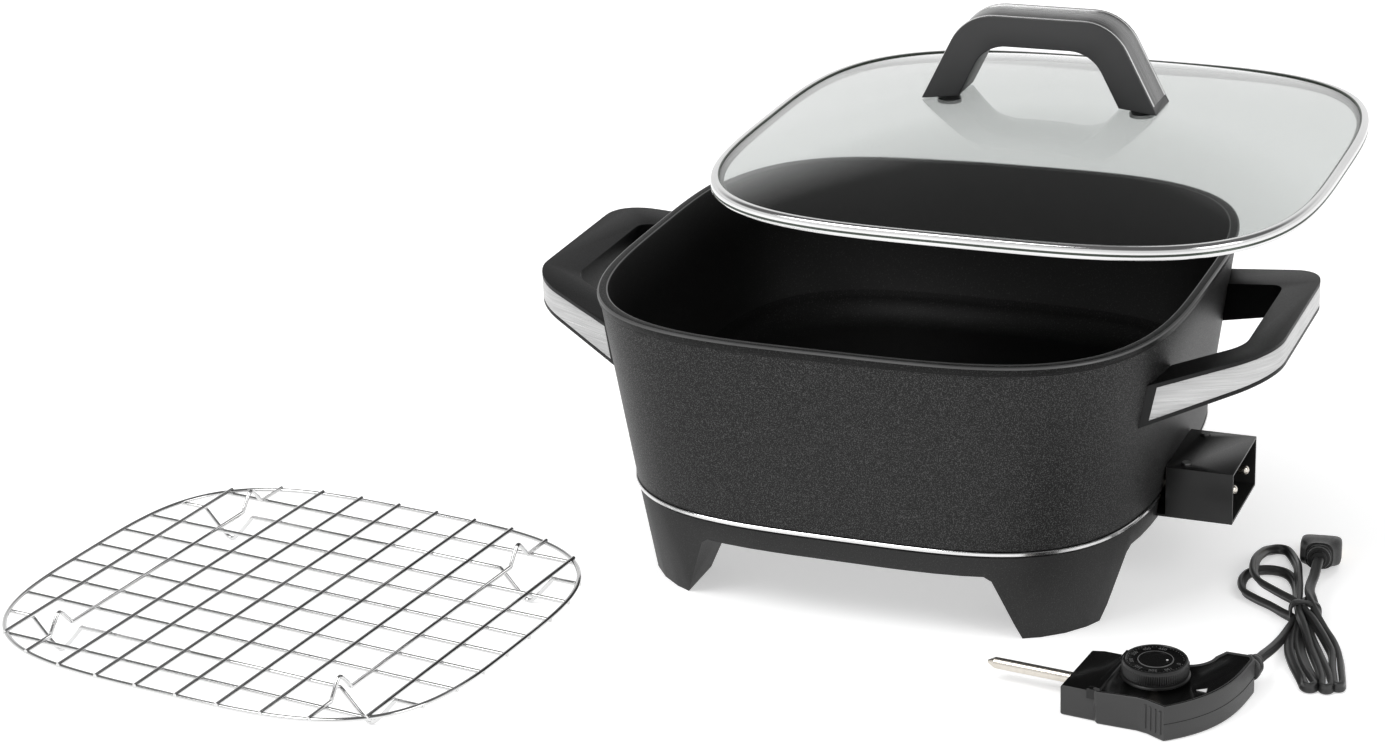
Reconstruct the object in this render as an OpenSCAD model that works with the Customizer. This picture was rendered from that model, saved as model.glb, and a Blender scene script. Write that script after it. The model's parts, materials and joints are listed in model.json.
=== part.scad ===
// Electric skillet: a deep square cast pan on a four-legged base, with a glass lid, a wire rack
// and a plug-in temperature control. Millimetres. The origin is the middle of the pan at the
// height of the table, +X points to the socket end, +Z up.

/* [Pan] */
// Half of the pan's width across its rim
rim_half = 150; // [130:1:170]
// Height of the rim above the table
rim_z = 151.6; // [130:0.2:175]
// Half of the pan's width at its lower edge
foot_half = 136; // [120:1:140]
// Height of the pan's lower edge
pan_low_z = 50.2; // [46:0.2:54]
// How square the outline is: 2 is a circle, higher is squarer
squareness = 3.55; // [2.6:0.05:5]
// Thickness of the pan's wall
wall = 4; // [3:0.5:6]
// Width of the flat rim
rim_w = 5; // [4:0.5:7]
// Thickness of the pan's floor
floor_t = 4; // [3:0.5:7]
// Radius between the floor and the wall inside
floor_r = 16; // [8:1:24]

/* [Base] */
// How far the base's lower edge stands in from the pan's lower edge
sole_in = 7; // [3:0.5:15]
// Height of the arches between the legs
arch_z = 36; // [25:1:38]
// Half width of an arch at its top
arch_top = 74; // [55:1:78]
// Half width of an arch on the table
arch_foot = 88; // [78:1:95]
// Thickness of the base's plastic
base_wall = 3; // [2:0.5:4]
// Height of the bright trim ring
trim_h = 2; // [1:0.2:3]

/* [Side handles] */
// Distance from the pan's rim to a handle's outer face
handle_out = 45.5; // [38:0.5:58]
// Height of a handle's top at its outer face
handle_z = 140; // [125:1:148]
// Height of the handle's side at its outer face
handle_h = 15; // [12:1:20]
// Width of the bar that the hand holds
grip_w = 18.5; // [16:0.5:24]
// Half length of the straight outer face
grip_half = 38; // [30:1:46]
// Rise of the top surface for each millimetre outwards
top_slope = 0.25; // [0.1:0.01:0.4]
// Rise of the underside for each millimetre outwards
under_slope = 0.35; // [0.2:0.01:0.5]
// Thickness of the steel band let into each handle
band_t = 0.8; // [0.5:0.1:1.5]
// Width of the black lip above and below the band
band_lip = 2.2; // [1.5:0.1:3.5]

/* [Lid] */
// Height of the lid's steel rim band
lid_band_h = 8; // [6:0.5:12]
// Rise of the glass dome above the band
dome_rise = 25; // [12:1:40]
// Thickness of the glass
glass_t = 4; // [3:0.5:5]
// How far the lid stands raised from its seat, towards the socket end
lid_shift = 64; // [0:1:100]
// How far the lid stands raised from its seat, upwards
lid_lift = 58.4; // [0:0.2:100]
// Half distance between the bends of the lid's handle
arch_bend_x = 22; // [14:1:28]
// Height of the handle's top above the lid's lower edge
arch_top_z = 71; // [60:1:85]
// Thickness of the lid's handle seen from the front
arch_t = 15; // [11:1:20]
// Width of the lid's handle
arch_w = 25; // [18:1:34]

/* [Rack] */
// Half of the rack's length
rack_half = 131; // [112:0.5:134]
// Half of the rack's width
rack_half_y = 112; // [95:0.5:118]
// Radius of the rack's wires
wire_r = 1.1; // [0.8:0.1:1.6]
// Number of wires each way
wire_count = 10; // [6:1:12]
// Height of the grid above the table
rack_z = 16; // [10:0.5:22]
// Place of the rack's middle on the table, sideways
rack_x = -261; // [-320:1:-255]
// Place of the rack's middle on the table, front to back
rack_y = -215.5; // [-260:0.5:-200]
// Turn of the rack on the table
rack_turn = -6.3; // [-20:0.1:10]

/* [Control] */
// Length of the temperature probe outside the control
probe_len = 40; // [35:1:60]
// Radius of the probe
probe_r = 2.8; // [2:0.1:3]
// Width of the nose that enters the socket
nose_w = 41; // [38:0.5:44]
// Thickness of the control's two shells together
control_h = 18; // [16:0.5:20]
// Radius of the dial
dial_r = 15.2; // [13:0.1:18]
// Height of the dial
dial_h = 8.6; // [7:0.1:14]
// Place of the probe's root on the table, sideways
control_x = 124; // [120:1:126]
// Place of the probe's root on the table, front to back
control_y = -167; // [-172:1:-165]
// Turn of the control on the table
control_turn = -6; // [-9:0.5:-4]

/* [Socket] */
// Distance between the two terminal pins
pin_gap = 25.4; // [23:0.1:27]
// Radius of a terminal pin
pin_r = 2.4; // [2:0.1:2.6]
// Width of the socket's box
socket_w = 51; // [49:0.5:56]
// Height of the socket's box
socket_h = 27; // [25:0.5:30]
// Sideways place of the socket's middle
socket_y = -14.5; // [-20:0.5:0]
// Distance from the pan's middle to the socket's mouth
socket_x = 172; // [165:1:180]

/* [Cord] */
// Radius of the cord
cord_r = 2.6; // [2:0.1:3.2]

/* [Hidden] */
$fn = 48;
ring_points = 72;
seat = 0.3;
skin = 0.05;
eps = 0.02;

// Pan
pan_under_z = 56;
pan_floor_z = pan_under_z + floor_t;
bead_h = 4.6;
bead_out = 0.7;
boss_r = 4.5;
boss_x = 45;
boss_y = foot_half - 15;
ridge_half = 85;
ridge_r = 25;
heater_r = 3.2;
ridge_w = 6.4;

// Base
sole_half = foot_half - sole_in;
base_top_z = pan_low_z - trim_h;
base_top_half = foot_half - 0.4;
groove_h = 1.3;
groove_in = 1;
flange_z = arch_z + base_wall;
flange_half = foot_half - 28;
shield_t = 1;
shield_half = flange_half + 8;
screw_r = 1.6;
base_screw = [14, 3.6, 2];
shield_screw = [base_wall + shield_t + 2, 2.6, 1.4];
shield_screw_r = 1.3;
shield_screw_x = 56;

// Socket: pins and probe share one level
pin_z = pan_under_z - seat - heater_r - 1;
socket_z = pin_z - socket_h / 2;
socket_wall = 1.2;
socket_back = half_at(socket_z + socket_h) + seat;
probe_bore_r = probe_r + 0.25;
probe_bore_len = 40;
probe_boss_w = 14;
insulator_t = 5;
pin_tip = socket_x - 0.5;
pin_root = foot_half - 8;
pin_ys = [socket_y - pin_gap / 2, socket_y + pin_gap / 2];
socket_boss_x = flange_half + 14;
tongue_x = socket_boss_x - 6;
socket_boss_r = 3.4;
socket_screw = [12, 3, 1.2];
socket_boss_ys = [socket_y - 20.6, socket_y + 21.2];

// Side handles
handle_reach = rim_half + handle_out;
handle_bend = 32;
gap_bend = 13;
arm_angle = 64.5;
outer_bend_at = [handle_reach - handle_bend, grip_half];
gap_bend_at = [handle_reach - grip_w - gap_bend, grip_half - 2.8];
lug = [13, 10, 8];
lug_sole = 2.5;
lug_x = half_at(handle_z - 2 * handle_h) - 3;
lug_screw_x = lug_x + 7.7;
lug_z = handle_under(lug_screw_x) + lug_sole;
arm_y = (bend_line(lug_screw_x, outer_bend_at, handle_bend)
         + bend_line(lug_screw_x, gap_bend_at, gap_bend)) / 2;
arm_root_x = foot_half - 6;
band_root_x = half_at(handle_z) - 4.2;
band_end_lean = 3.3;
handle_screw = [8.5, 3.2, 1.6];

// Lid, measured from the lower edge of its band
lid_seat_z = rim_z + seat;
glass_half = rim_half - 2.8;
glass_edge_z = lid_band_h / 2 - glass_t / 2;
lid_screw_x = arch_bend_x + 27;
lid_screw = [16, 6, 1.6];
lid_screw_r = 2.35;
lid_washer_r = 7;
lid_washer_t = 2.5;
arch_leg_angle = 63;
inner_bend = [6, 8];
arch_bend_z = arch_top_z - arch_bend_r();
inlay_t = 0.9;
inlay_w = arch_w - 4;
inlay_foot_z = 30.5;
lid_at = [lid_shift, 0, lid_seat_z + lid_lift];

// Rack
wire_sink = 0.5;
long_z = rack_z;
cross_z = rack_z + 2 * wire_r - wire_sink;
ring_wire_z = (long_z + cross_z) / 2;
wire_over = 1.5;
wire_gaps = wire_count + 1;
bend_place = 1 - 3.2 / wire_gaps;
dip_half = 15.5;
hump_half = 8.4;
hump_h = 9;

// Control, in its own frame: the probe along -X, the origin at the probe's root
seam_z = control_h / 2;
seam_gap = 0.3;
nose_x = 5.5;
nose_end = 22;
body_w = nose_w + 4;
body_back_x = 80;
body_corner = [58, -body_w / 2 - 3.7];
tail_y = 38;
tail_x0 = 62;
dial_at = [44.5, -1];
dial_z = control_h + 1.6;
probe_z = seam_z;
probe_tip = 4;
sheath_x = nose_x + 20;
sheath_len = probe_len + sheath_x;
sheath_bore = sheath_len - probe_tip - 4;
shell = 2;
shaft_r = 2.4;
shaft_run = 0.08;
sleeve_len = 18;
sleeve_out_r = 3.2;
sleeve_bore_r = pin_r + 0.1;
grommet_at = [70.5, tail_y];
grommet_len = 11;
grommet_r = 3.3;

// Cord and plug, in the frame of the whole skillet
lead_route = [[199, -127.4, 9], [200.2, -119, 7.6], [203, -108, 5], [206, -96, 3.4],
              [207.8, -84, 2.8], [208.8, -75, 2.7], [209.8, -67.6, 3]];
tail_route = [[216.8, -61, 8], [216.6, -48, 8.2], [214.8, -34, 10.4], [212.4, -24, 12.6],
              [210.7, -15.2, 13.8]];
hank_h = 11;
lower_hank = [[217.5, -72.6, 5], [231.5, -131, 5.5], [240.5, -123.5, 5.5]];
upper_hank = [[210, -57.6, 4], [185, 9, 6.4], [182, -24, 8]];
tie_at = [214.5, -64.5];
tie_size = [14, 8];
plug_at = [210.6, -16];
plug_turn = 8;
plug_tilt = 13.2;
plug_len = 30;
plug_w = 20.5;
plug_h = 14;
blade_gap = 12.7;

// Half width of the pan's outside at a height
function half_at(z) = foot_half + (rim_half - bead_out - foot_half) * (z - pan_low_z) / (rim_z - pan_low_z);

// Radius of the bends of the lid's handle at its outer side
function arch_bend_r() = arch_t + 10;

// Points of a rounded square outline of a given half width and squareness
function squircle(half, n) = [
    for (i = [0 : ring_points - 1])
        let (t = 360 * i / ring_points)
        let (r = half / pow(pow(abs(cos(t)), n) + pow(abs(sin(t)), n), 1 / n))
        [r * cos(t), r * sin(t)]
];

// Points of an arc
function arc(c, r, a0, a1, steps = 8) = [
    for (i = [0 : steps]) let (a = a0 + (a1 - a0) * i / steps) [c[0] + r * cos(a), c[1] + r * sin(a)]
];

// Points of a square with rounded corners
function round_square(half, r) = [
    for (k = [0 : 3]) each arc([(half - r) * (k == 0 || k == 3 ? 1 : -1), (half - r) * (k < 2 ? 1 : -1)],
                               r, 90 * k, 90 * k + 90)
];

function mirror_y(pts) = [for (i = [len(pts) - 1 : -1 : 0]) [pts[i][0], -pts[i][1]]];
function mirror_x(pts) = [for (i = [len(pts) - 1 : -1 : 0]) [-pts[i][0], pts[i][1]]];

// Solid or closed ring through outlines [half width, height, squareness, share of the half width that
// lies along Y]; the material is on the left of the profile's path
module loft(rings, closed = false) {
    count = len(rings);
    pts = [
        for (q = rings) each
            [for (p = squircle(q[0], len(q) > 2 ? q[2] : squareness)) [p[0], p[1] * (len(q) > 3 ? q[3] : 1), q[1]]]
    ];
    n = ring_points;
    sides = [
        for (k = [0 : (closed ? count - 1 : count - 2)], i = [0 : n - 1])
            let (a = k * n, b = ((k + 1) % count) * n, j = (i + 1) % n)
            [a + i, b + i, b + j, a + j]
    ];
    caps = closed ? [] : [
        [for (i = [0 : n - 1]) i],
        [for (i = [n - 1 : -1 : 0]) (count - 1) * n + i]
    ];
    polyhedron(pts, concat(sides, caps));
}

// Tube swept along a route
module swept_tube(route, r, sides = 10) {
    last = len(route) - 1;
    pts = [
        for (k = [0 : last])
            let (d = route[min(k + 1, last)] - route[max(k - 1, 0)])
            let (u = d / norm(d), s = cross([0, 0, 1], u), e = s / norm(s), f = cross(u, e))
            each [for (i = [0 : sides - 1])
                route[k] + r * (cos(360 * i / sides) * e + sin(360 * i / sides) * f)]
    ];
    faces = [
        for (k = [0 : last - 1], i = [0 : sides - 1])
            let (a = k * sides, b = a + sides, j = (i + 1) % sides)
            [a + i, b + i, b + j, a + j]
    ];
    ends = [[for (i = [0 : sides - 1]) i], [for (i = [sides - 1 : -1 : 0]) last * sides + i]];
    polyhedron(pts, concat(faces, ends));
}

// Points on a smooth curve through a route's points
function curve_point(a, b, c, d, t) = 0.5 * (2 * b + (c - a) * t + (2 * a - 5 * b + 4 * c - d) * t * t
                                             + (3 * b - a - 3 * c + d) * t * t * t);
function smooth(route, steps = 3) = let (last = len(route) - 1) concat([
    for (k = [0 : last - 1], i = [0 : steps - 1])
        curve_point(route[max(k - 1, 0)], route[k], route[k + 1], route[min(k + 2, last)], i / steps)
], [route[last]]);

// Screw with its head down and its shank up; size is [shank length, head radius, head height]
module screw_up(x, y, z, size, r = screw_r) {
    translate([x, y, z - size[2]]) cylinder(r = size[1], h = size[2]);
    translate([x, y, z - size[2] / 2]) cylinder(r = r, h = size[0] + size[2] / 2);
}

module rod(a, b, r) {
    d = b - a;
    length = norm(d);
    translate(a) rotate([0, acos(d[2] / length), atan2(d[1], d[0])]) cylinder(r = r, h = length);
}

// ---- Pan ----

module pan_outside(grow, low, high) {
    loft([[half_at(low) + grow, low], [half_at(high) + grow, high]]);
}

module pan_shell() {
    inner_low = half_at(pan_floor_z) - wall;
    bead_z = rim_z - bead_h;
    loft(concat(
        [[foot_half - wall - 0.5, pan_under_z], [foot_half - wall, pan_low_z], [foot_half, pan_low_z]],
        [[half_at(bead_z), bead_z], [half_at(bead_z) + bead_out, bead_z + 0.5]],
        [[rim_half, rim_z - 0.8], [rim_half - 0.8, rim_z], [rim_half - rim_w, rim_z]],
        [for (a = [0 : 18 : 90])
            [inner_low - floor_r * (1 - cos(a)) + (rim_half - rim_w - inner_low) * (a == 0 ? 0.08 : 0),
             pan_floor_z + floor_r * (1 - sin(a))]]
    ));
}

module boss_places() {
    for (sx = [-1, 1], sy = [-1, 1]) translate([sx * boss_x, sy * boss_y, 0]) children();
}

module socket_rivet_places() {
    for (sy = [-1, 1]) translate([socket_back + 9, socket_y + sy * (socket_w / 2 - 6), socket_z + socket_h])
        children();
}

module socket_boss_places() {
    for (y = socket_boss_ys) translate([socket_boss_x, y, 0]) children();
}

module pan_bosses() {
    boss_places() translate([0, 0, flange_z + seat]) cylinder(r = boss_r, h = pan_under_z - flange_z + 1);
    socket_boss_places() translate([0, 0, socket_z + socket_wall + seat])
        cylinder(r = socket_boss_r, h = pan_under_z - socket_z);
    translate([0, 0, pan_under_z - 1]) linear_extrude(2) difference() {
        polygon(round_square(ridge_half + ridge_w / 2, ridge_r + ridge_w / 2));
        polygon(round_square(ridge_half - ridge_w / 2, ridge_r - ridge_w / 2));
        translate([ridge_half - 10, pin_ys[0] - 12]) square([20, pin_gap + 24]);
    }
}

module handle_lugs(grow = 0) {
    for (sx = [0, 1], sy = [-1, 1]) mirror([sx, 0, 0])
        translate([lug_x - (grow > 0 ? 10 : 0), sy * arm_y - lug[1] / 2 - grow, lug_z - grow])
            cube([lug[0] + grow + (grow > 0 ? 10 : 0), lug[1] + 2 * grow, lug[2] + 2 * grow]);
}

module pan() {
    color("#2b2c2f") difference() {
        union() {
            pan_shell();
            pan_bosses();
            handle_lugs();
        }
        boss_places() translate([0, 0, flange_z]) cylinder(r = screw_r + skin, h = 13);
        socket_boss_places() translate([0, 0, socket_z]) cylinder(r = screw_r + skin, h = 12);
        translate([pin_root, pin_ys[0] - 6, pan_low_z - 1])
            cube([12, pin_gap + 12, pan_under_z - pan_low_z + 1]);
        for (sx = [-1, 1], sy = [-1, 1]) translate([sx * lug_screw_x, sy * arm_y, lug_z - 1])
            cylinder(r = screw_r + skin, h = lug[2] - 0.5);
    }
}

// Well for the temperature probe, against the underside of the pan's floor
module probe_boss() {
    low = pin_z - probe_bore_r - 2.2;
    color("#2b2c2f") difference() {
        translate([pin_root - probe_bore_len - 6, socket_y - probe_boss_w / 2, low])
            cube([probe_bore_len + 6, probe_boss_w, pan_under_z - low]);
        translate([pin_root - probe_bore_len, socket_y, pin_z]) rotate([0, 90, 0])
            cylinder(r = probe_bore_r, h = probe_bore_len + 1);
    }
}

module trim_ring() {
    color("#d9dadb") difference() {
        loft([[foot_half - 2.6, base_top_z + skin], [foot_half + 0.3, base_top_z + skin],
              [foot_half + 0.4, pan_low_z - skin], [foot_half - 2.6, pan_low_z - skin]], closed = true);
        translate([foot_half - 12, socket_y - socket_w / 2 - seat, base_top_z - 1])
            cube([20, socket_w + 2 * seat, trim_h + 2]);
    }
}

// ---- Base ----

module arch_cut(grow) {
    drop = 1;
    low = arch_foot + grow + drop * (arch_foot - arch_top) / arch_z;
    rotate([90, 0, 0]) translate([0, 0, -180]) linear_extrude(360)
        polygon([[-low, -drop], [low, -drop], [arch_top + grow + 1.5, arch_z + grow - 2.5],
                 [arch_top + grow - 2, arch_z + grow], [-arch_top - grow + 2, arch_z + grow],
                 [-arch_top - grow - 1.5, arch_z + grow - 2.5]]);
}

module base_hollow() {
    difference() {
        loft([[sole_half - base_wall + 0.4, base_wall],
              [base_top_half - base_wall - groove_in, base_top_z + 1]]);
        arch_cut(base_wall);
        rotate([0, 0, 90]) arch_cut(base_wall);
    }
}

module base_skirt() {
    color("#1d1e20") difference() {
        loft([[sole_half, 0], [base_top_half, base_top_z - groove_h],
              [base_top_half - groove_in, base_top_z - groove_h + 0.3],
              [base_top_half - groove_in, base_top_z]]);
        arch_cut(0);
        rotate([0, 0, 90]) arch_cut(0);
        base_hollow();
        translate([0, 0, arch_z - 1]) linear_extrude(base_wall + 2) polygon(round_square(flange_half, 30));
        boss_places() translate([0, 0, arch_z - 1]) cylinder(r = screw_r + 0.3, h = base_wall + 2);
        shield_screw_places() translate([0, 0, arch_z - 1]) cylinder(r = shield_screw_r + skin, h = base_wall + 2);
        translate([tongue_x - 2, socket_y - socket_w / 2 - seat, socket_z - seat])
            cube([40, socket_w + 2 * seat, base_top_z]);
        socket_boss_places() translate([0, 0, arch_z - 1]) cylinder(r = 3 + 2 * seat, h = 4);
    }
}

module base_screws() {
    color("#8d9094") boss_places() screw_up(0, 0, arch_z - skin, base_screw);
}

module shield_screw_places() {
    for (sx = [-1, 1], sy = [-1, 1])
        translate([sx * shield_screw_x, sy * (flange_half + 4), 0]) children();
}

module heat_shield() {
    slot = [70, 5];
    color("#b4b6b8") translate([0, 0, flange_z + skin]) linear_extrude(shield_t) difference() {
        polygon(round_square(shield_half, 34));
        for (k = [-2 : 2]) translate([-slot[0] / 2, k * 26 - slot[1] / 2]) square(slot);
        shield_screw_places() circle(r = shield_screw_r + skin);
        translate([tongue_x - 6, socket_y - socket_w / 2 - 2]) square([20, socket_w + 4]);
    }
}

module shield_screws() {
    color("#8d9094") shield_screw_places()
        screw_up(0, 0, arch_z - skin, shield_screw, shield_screw_r);
}

// ---- Heater and socket ----

module tube_bend(c, r, a0, a1) {
    translate([c[0], c[1], pin_z]) rotate([0, 0, min(a0, a1)])
        rotate_extrude(angle = abs(a1 - a0)) translate([r, 0]) circle(r = heater_r);
}

module tube_run(a, b) {
    rod([a[0], a[1], pin_z], [b[0], b[1], pin_z], heater_r);
}

module heating_element() {
    h = ridge_half;
    r = ridge_r;
    turn = 12;
    sheath_end = pin_root + 4;
    color("#6d6f72") {
        for (k = [0 : 3]) rotate([0, 0, 90 * k]) {
            tube_bend([h - r, h - r], r, 0, 90);
            if (k < 3) tube_run([h - r, h], [r - h, h]);
        }
        tube_run([h, r - h], [h, pin_ys[0] - turn]);
        tube_bend([h + turn, pin_ys[0] - turn], turn, 90, 180);
        tube_run([h + turn, pin_ys[0]], [sheath_end, pin_ys[0]]);
        tube_run([h, h - r], [h, pin_ys[1] + turn]);
        tube_bend([h + turn, pin_ys[1] + turn], turn, 180, 270);
        tube_run([h + turn, pin_ys[1]], [sheath_end, pin_ys[1]]);
    }
}

module element_clip() {
    side = heater_r + 0.2;
    color("#9a9da1") rotate([90, 0, 0]) translate([0, 0, -5]) linear_extrude(10) difference() {
        translate([-11, pin_z - heater_r - 1.4]) square([22, pan_under_z - skin - pin_z + heater_r + 1.4]);
        translate([-side, pin_z - heater_r - 0.2]) square([2 * side, 20]);
        translate([side + 1.2, pin_z - heater_r - 2]) square([10, pan_under_z - pin_z + heater_r + 0.8]);
        translate([-side - 11.2, pin_z - heater_r - 2]) square([10, pan_under_z - pin_z + heater_r + 0.8]);
    }
}

module element_clips() {
    for (a = [90, 180, 270]) rotate([0, 0, a]) translate([ridge_half, 0, 0]) element_clip();
    translate([ridge_half, 36, 0]) element_clip();
}

module terminal_pins() {
    straight = pin_tip - pin_root - 4 - pin_r;
    color("#c9cbcd") for (y = pin_ys) translate([pin_root + 4, y, pin_z]) rotate([0, 90, 0]) {
        cylinder(r = pin_r, h = straight);
        translate([0, 0, straight]) sphere(r = pin_r);
    }
}

module socket_hollow(back, front) {
    translate([back, socket_y - socket_w / 2 + socket_wall, socket_z + socket_wall])
        cube([front - back, socket_w - 2 * socket_wall, socket_h - 2 * socket_wall]);
}

module terminal_insulator() {
    rim = socket_wall + 0.2;
    color("#c8c0ac") difference() {
        translate([socket_back + 1, socket_y - socket_w / 2 + rim, socket_z + rim])
            cube([insulator_t, socket_w - 2 * rim, socket_h - 2 * rim]);
        for (y = pin_ys) translate([socket_back, y, pin_z]) rotate([0, 90, 0])
            cylinder(r = pin_r + 0.1, h = insulator_t + 2);
        translate([socket_back, socket_y, pin_z]) rotate([0, 90, 0])
            cylinder(r = probe_bore_r + 1.6, h = insulator_t + 2);
    }
}

module socket_housing() {
    color("#1b1c1e") difference() {
        union() {
            translate([socket_back, socket_y - socket_w / 2, socket_z])
                cube([socket_x - socket_back, socket_w, socket_h]);
            translate([tongue_x, socket_y - socket_w / 2, socket_z])
                cube([socket_back - tongue_x + 1, socket_w, socket_wall]);
            socket_rivet_places() translate([0, 0, -1]) cylinder(r = 3, h = 1.4);
        }
        socket_hollow(socket_back - 1, socket_x + 1);
        socket_rivet_places() translate([0, 0, -3]) cylinder(r = 1.2 + skin, h = 5);
        socket_boss_places() translate([0, 0, socket_z - 1]) cylinder(r = screw_r + 0.3, h = 4);
    }
}

module socket_rivets() {
    color("#5f6164") socket_rivet_places() {
        translate([0, 0, 0.4 + skin]) cylinder(r = 2.2, h = 0.9);
        translate([0, 0, -socket_wall - 0.6]) cylinder(r = 1.2, h = socket_wall + 1.2);
    }
}

module socket_screws() {
    color("#8d9094") socket_boss_places() screw_up(0, 0, socket_z - skin, socket_screw);
}

// ---- Side handles ----

// Depth at x of the straight line that leaves a bend towards the pan
function bend_line(x, c, r) =
    c[1] + r * sin(arm_angle) + (c[0] + r * cos(arm_angle) - x) / tan(arm_angle);

// Outer outline of the right handle, moved inwards by d
function handle_outline(d) =
    let (c = outer_bend_at, r = handle_bend - d)
    let (bend = arc(c, r, arm_angle, 0, 10))
    let (root = [arm_root_x, bend_line(arm_root_x, c, r)])
    concat([root], bend, mirror_y(bend), [[root[0], -root[1]]]);

// The same outline, open towards the pan, for what stays inside the band
function handle_core(d) = [for (p = handle_outline(d)) [p[0] - (p[0] == arm_root_x ? 5 : 0), p[1]]];

// Outline of the gap that the fingers go through
function finger_gap() =
    let (bend = arc(gap_bend_at, gap_bend, arm_angle, 0, 8))
    let (root = [arm_root_x - 10, bend_line(arm_root_x - 10, gap_bend_at, gap_bend)])
    concat([root], bend, mirror_y(bend), [[root[0], -root[1]]]);

function handle_top(x) = handle_z + top_slope * (x - handle_reach);
function handle_under(x) = handle_z - handle_h + under_slope * (x - handle_reach);

// Sloped slice of a handle, a lip in from its top and its underside
module handle_slice(lip, root_low, root_high) {
    end = handle_reach + 5;
    rotate([90, 0, 0]) translate([0, 0, -120]) linear_extrude(240)
        polygon([[root_low, handle_under(root_low) + lip], [end, handle_under(end) + lip],
                 [end, handle_top(end) - lip], [root_high, handle_top(root_high) - lip]]);
}

module handle_block(outline) {
    translate([0, 0, handle_under(arm_root_x) - 10]) linear_extrude(handle_z) polygon(outline);
}

module handle_band() {
    intersection() {
        difference() {
            handle_block(handle_outline(0));
            handle_block(handle_core(band_t));
        }
        handle_slice(band_lip, band_root_x - 3, band_root_x - 3 + band_end_lean);
    }
}

module handle() {
    difference() {
        intersection() {
            handle_block(handle_outline(0));
            handle_slice(0, arm_root_x, arm_root_x);
        }
        handle_block(finger_gap());
        intersection() {
            difference() {
                handle_block(handle_outline(-1));
                handle_block(handle_core(band_t + skin));
            }
            handle_slice(band_lip - skin, band_root_x - 3 - skin, band_root_x - 3 + band_end_lean - skin);
        }
        handle_lugs(seat);
        pan_outside(seat, handle_under(arm_root_x) - 5, handle_z);
        for (sy = [-1, 1]) translate([lug_screw_x, sy * arm_y, 0]) {
            cylinder(r = screw_r + 0.3, h = lug_z);
            cylinder(r = 3.5, h = lug_z - 2.4);
        }
    }
}

module handle_right() { color("#17181b") handle(); }
module handle_left() { color("#17181b") mirror([1, 0, 0]) handle(); }
module handle_band_right() { color("#bfc1c3") handle_band(); }
module handle_band_left() { color("#bfc1c3") mirror([1, 0, 0]) handle_band(); }

module handle_screws() {
    color("#8d9094") for (sx = [-1, 1], sy = [-1, 1])
        screw_up(sx * lug_screw_x, sy * arm_y, lug_z - 2.4 - skin, handle_screw);
}

// ---- Lid ----

function dome(s) = glass_edge_z + dome_rise * (1 - s * s);
function dome_ring(s, up) = [max(glass_half * s, 2), dome(s) + up, 2 + (squareness - 2) * s * s];
dome_steps = [1, 0.9, 0.78, 0.64, 0.48, 0.3, 0.12];

module lid_glass_solid() {
    loft(concat(
        [for (k = [len(dome_steps) - 1 : -1 : 0]) dome_ring(dome_steps[k], 0)],
        [for (s = dome_steps) dome_ring(s, glass_t)]
    ));
}

module lid_screw_places() {
    for (sx = [-1, 1]) translate([sx * lid_screw_x, 0, 0]) children();
}

module lid_glass() {
    color("#b9c4c6", 0.45) translate(lid_at) difference() {
        lid_glass_solid();
        lid_screw_places() cylinder(r = lid_screw_r + 1.15, h = 60);
    }
}

module lid_rim_band() {
    h = lid_band_h;
    hold = glass_half + 0.4;
    inside = rim_half - 6.5;
    low = glass_edge_z - 0.3;
    high = glass_edge_z + glass_t + 0.3;
    color("#c6c8ca") translate(lid_at)
        loft([[inside, 0], [rim_half - 1.2, 0], [rim_half, 1.6], [rim_half, h - 1.6], [rim_half - 1.2, h],
              [inside + 0.5, h], [inside, high + 1.1], [hold, high], [hold, low], [inside, low]],
             closed = true);
}

function arch_side(r, foot_z, in) =
    let (bend = arc([in[0] - arch_bend_x, arch_bend_z - in[1]], r, 180 - (90 - arch_leg_angle), 90, 10))
    let (drop = (bend[0][1] - foot_z) / tan(arch_leg_angle))
    concat([[bend[0][0] - drop, foot_z]], bend);

// Outline of the arch; the middles of its inner bends lie inwards and lower by the amounts in
function arch_outline(outer_r, inner_r, foot_z, in = [0, 0]) =
    let (o = arch_side(outer_r, foot_z, [0, 0]), i = arch_side(inner_r, foot_z, in))
    concat(o, mirror_x(o), [for (p = i) [-p[0], p[1]]], [for (k = [len(i) - 1 : -1 : 0]) i[k]]);

module arch_plate(outline, width) {
    translate([0, width / 2, 0]) rotate([90, 0, 0]) linear_extrude(width) polygon(outline);
}

module lid_inlay_solid(grow) {
    out = arch_bend_r();
    intersection() {
        difference() {
            arch_plate(arch_outline(out + (grow > 0 ? 1 : 0), out - arch_t / 2, 10), inlay_w + 2 * grow);
            arch_plate(arch_outline(out - inlay_t - grow, 2, 8), arch_w + 10);
        }
        translate([-100, -50, inlay_foot_z - grow]) cube([200, 100, 100]);
    }
}

module lid_handle() {
    color("#2e2f33") translate(lid_at) difference() {
        arch_plate(arch_outline(arch_bend_r(), arch_bend_r() - arch_t + inner_bend[1], 12, inner_bend), arch_w);
        lid_inlay_solid(skin);
        loft(concat([[glass_half + 10, -5, 2]], [for (s = dome_steps) dome_ring(s, glass_t + skin)]));
        lid_screw_places() cylinder(r = lid_screw_r + skin, h = 40);
    }
}

module lid_handle_inlay() {
    color("#8f9194") translate(lid_at) lid_inlay_solid(0);
}

module lid_screws() {
    color("#b9bbbd") translate(lid_at) lid_screw_places()
        screw_up(0, 0, dome(lid_screw_x / glass_half) - lid_washer_t - skin, lid_screw, lid_screw_r);
}

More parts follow.
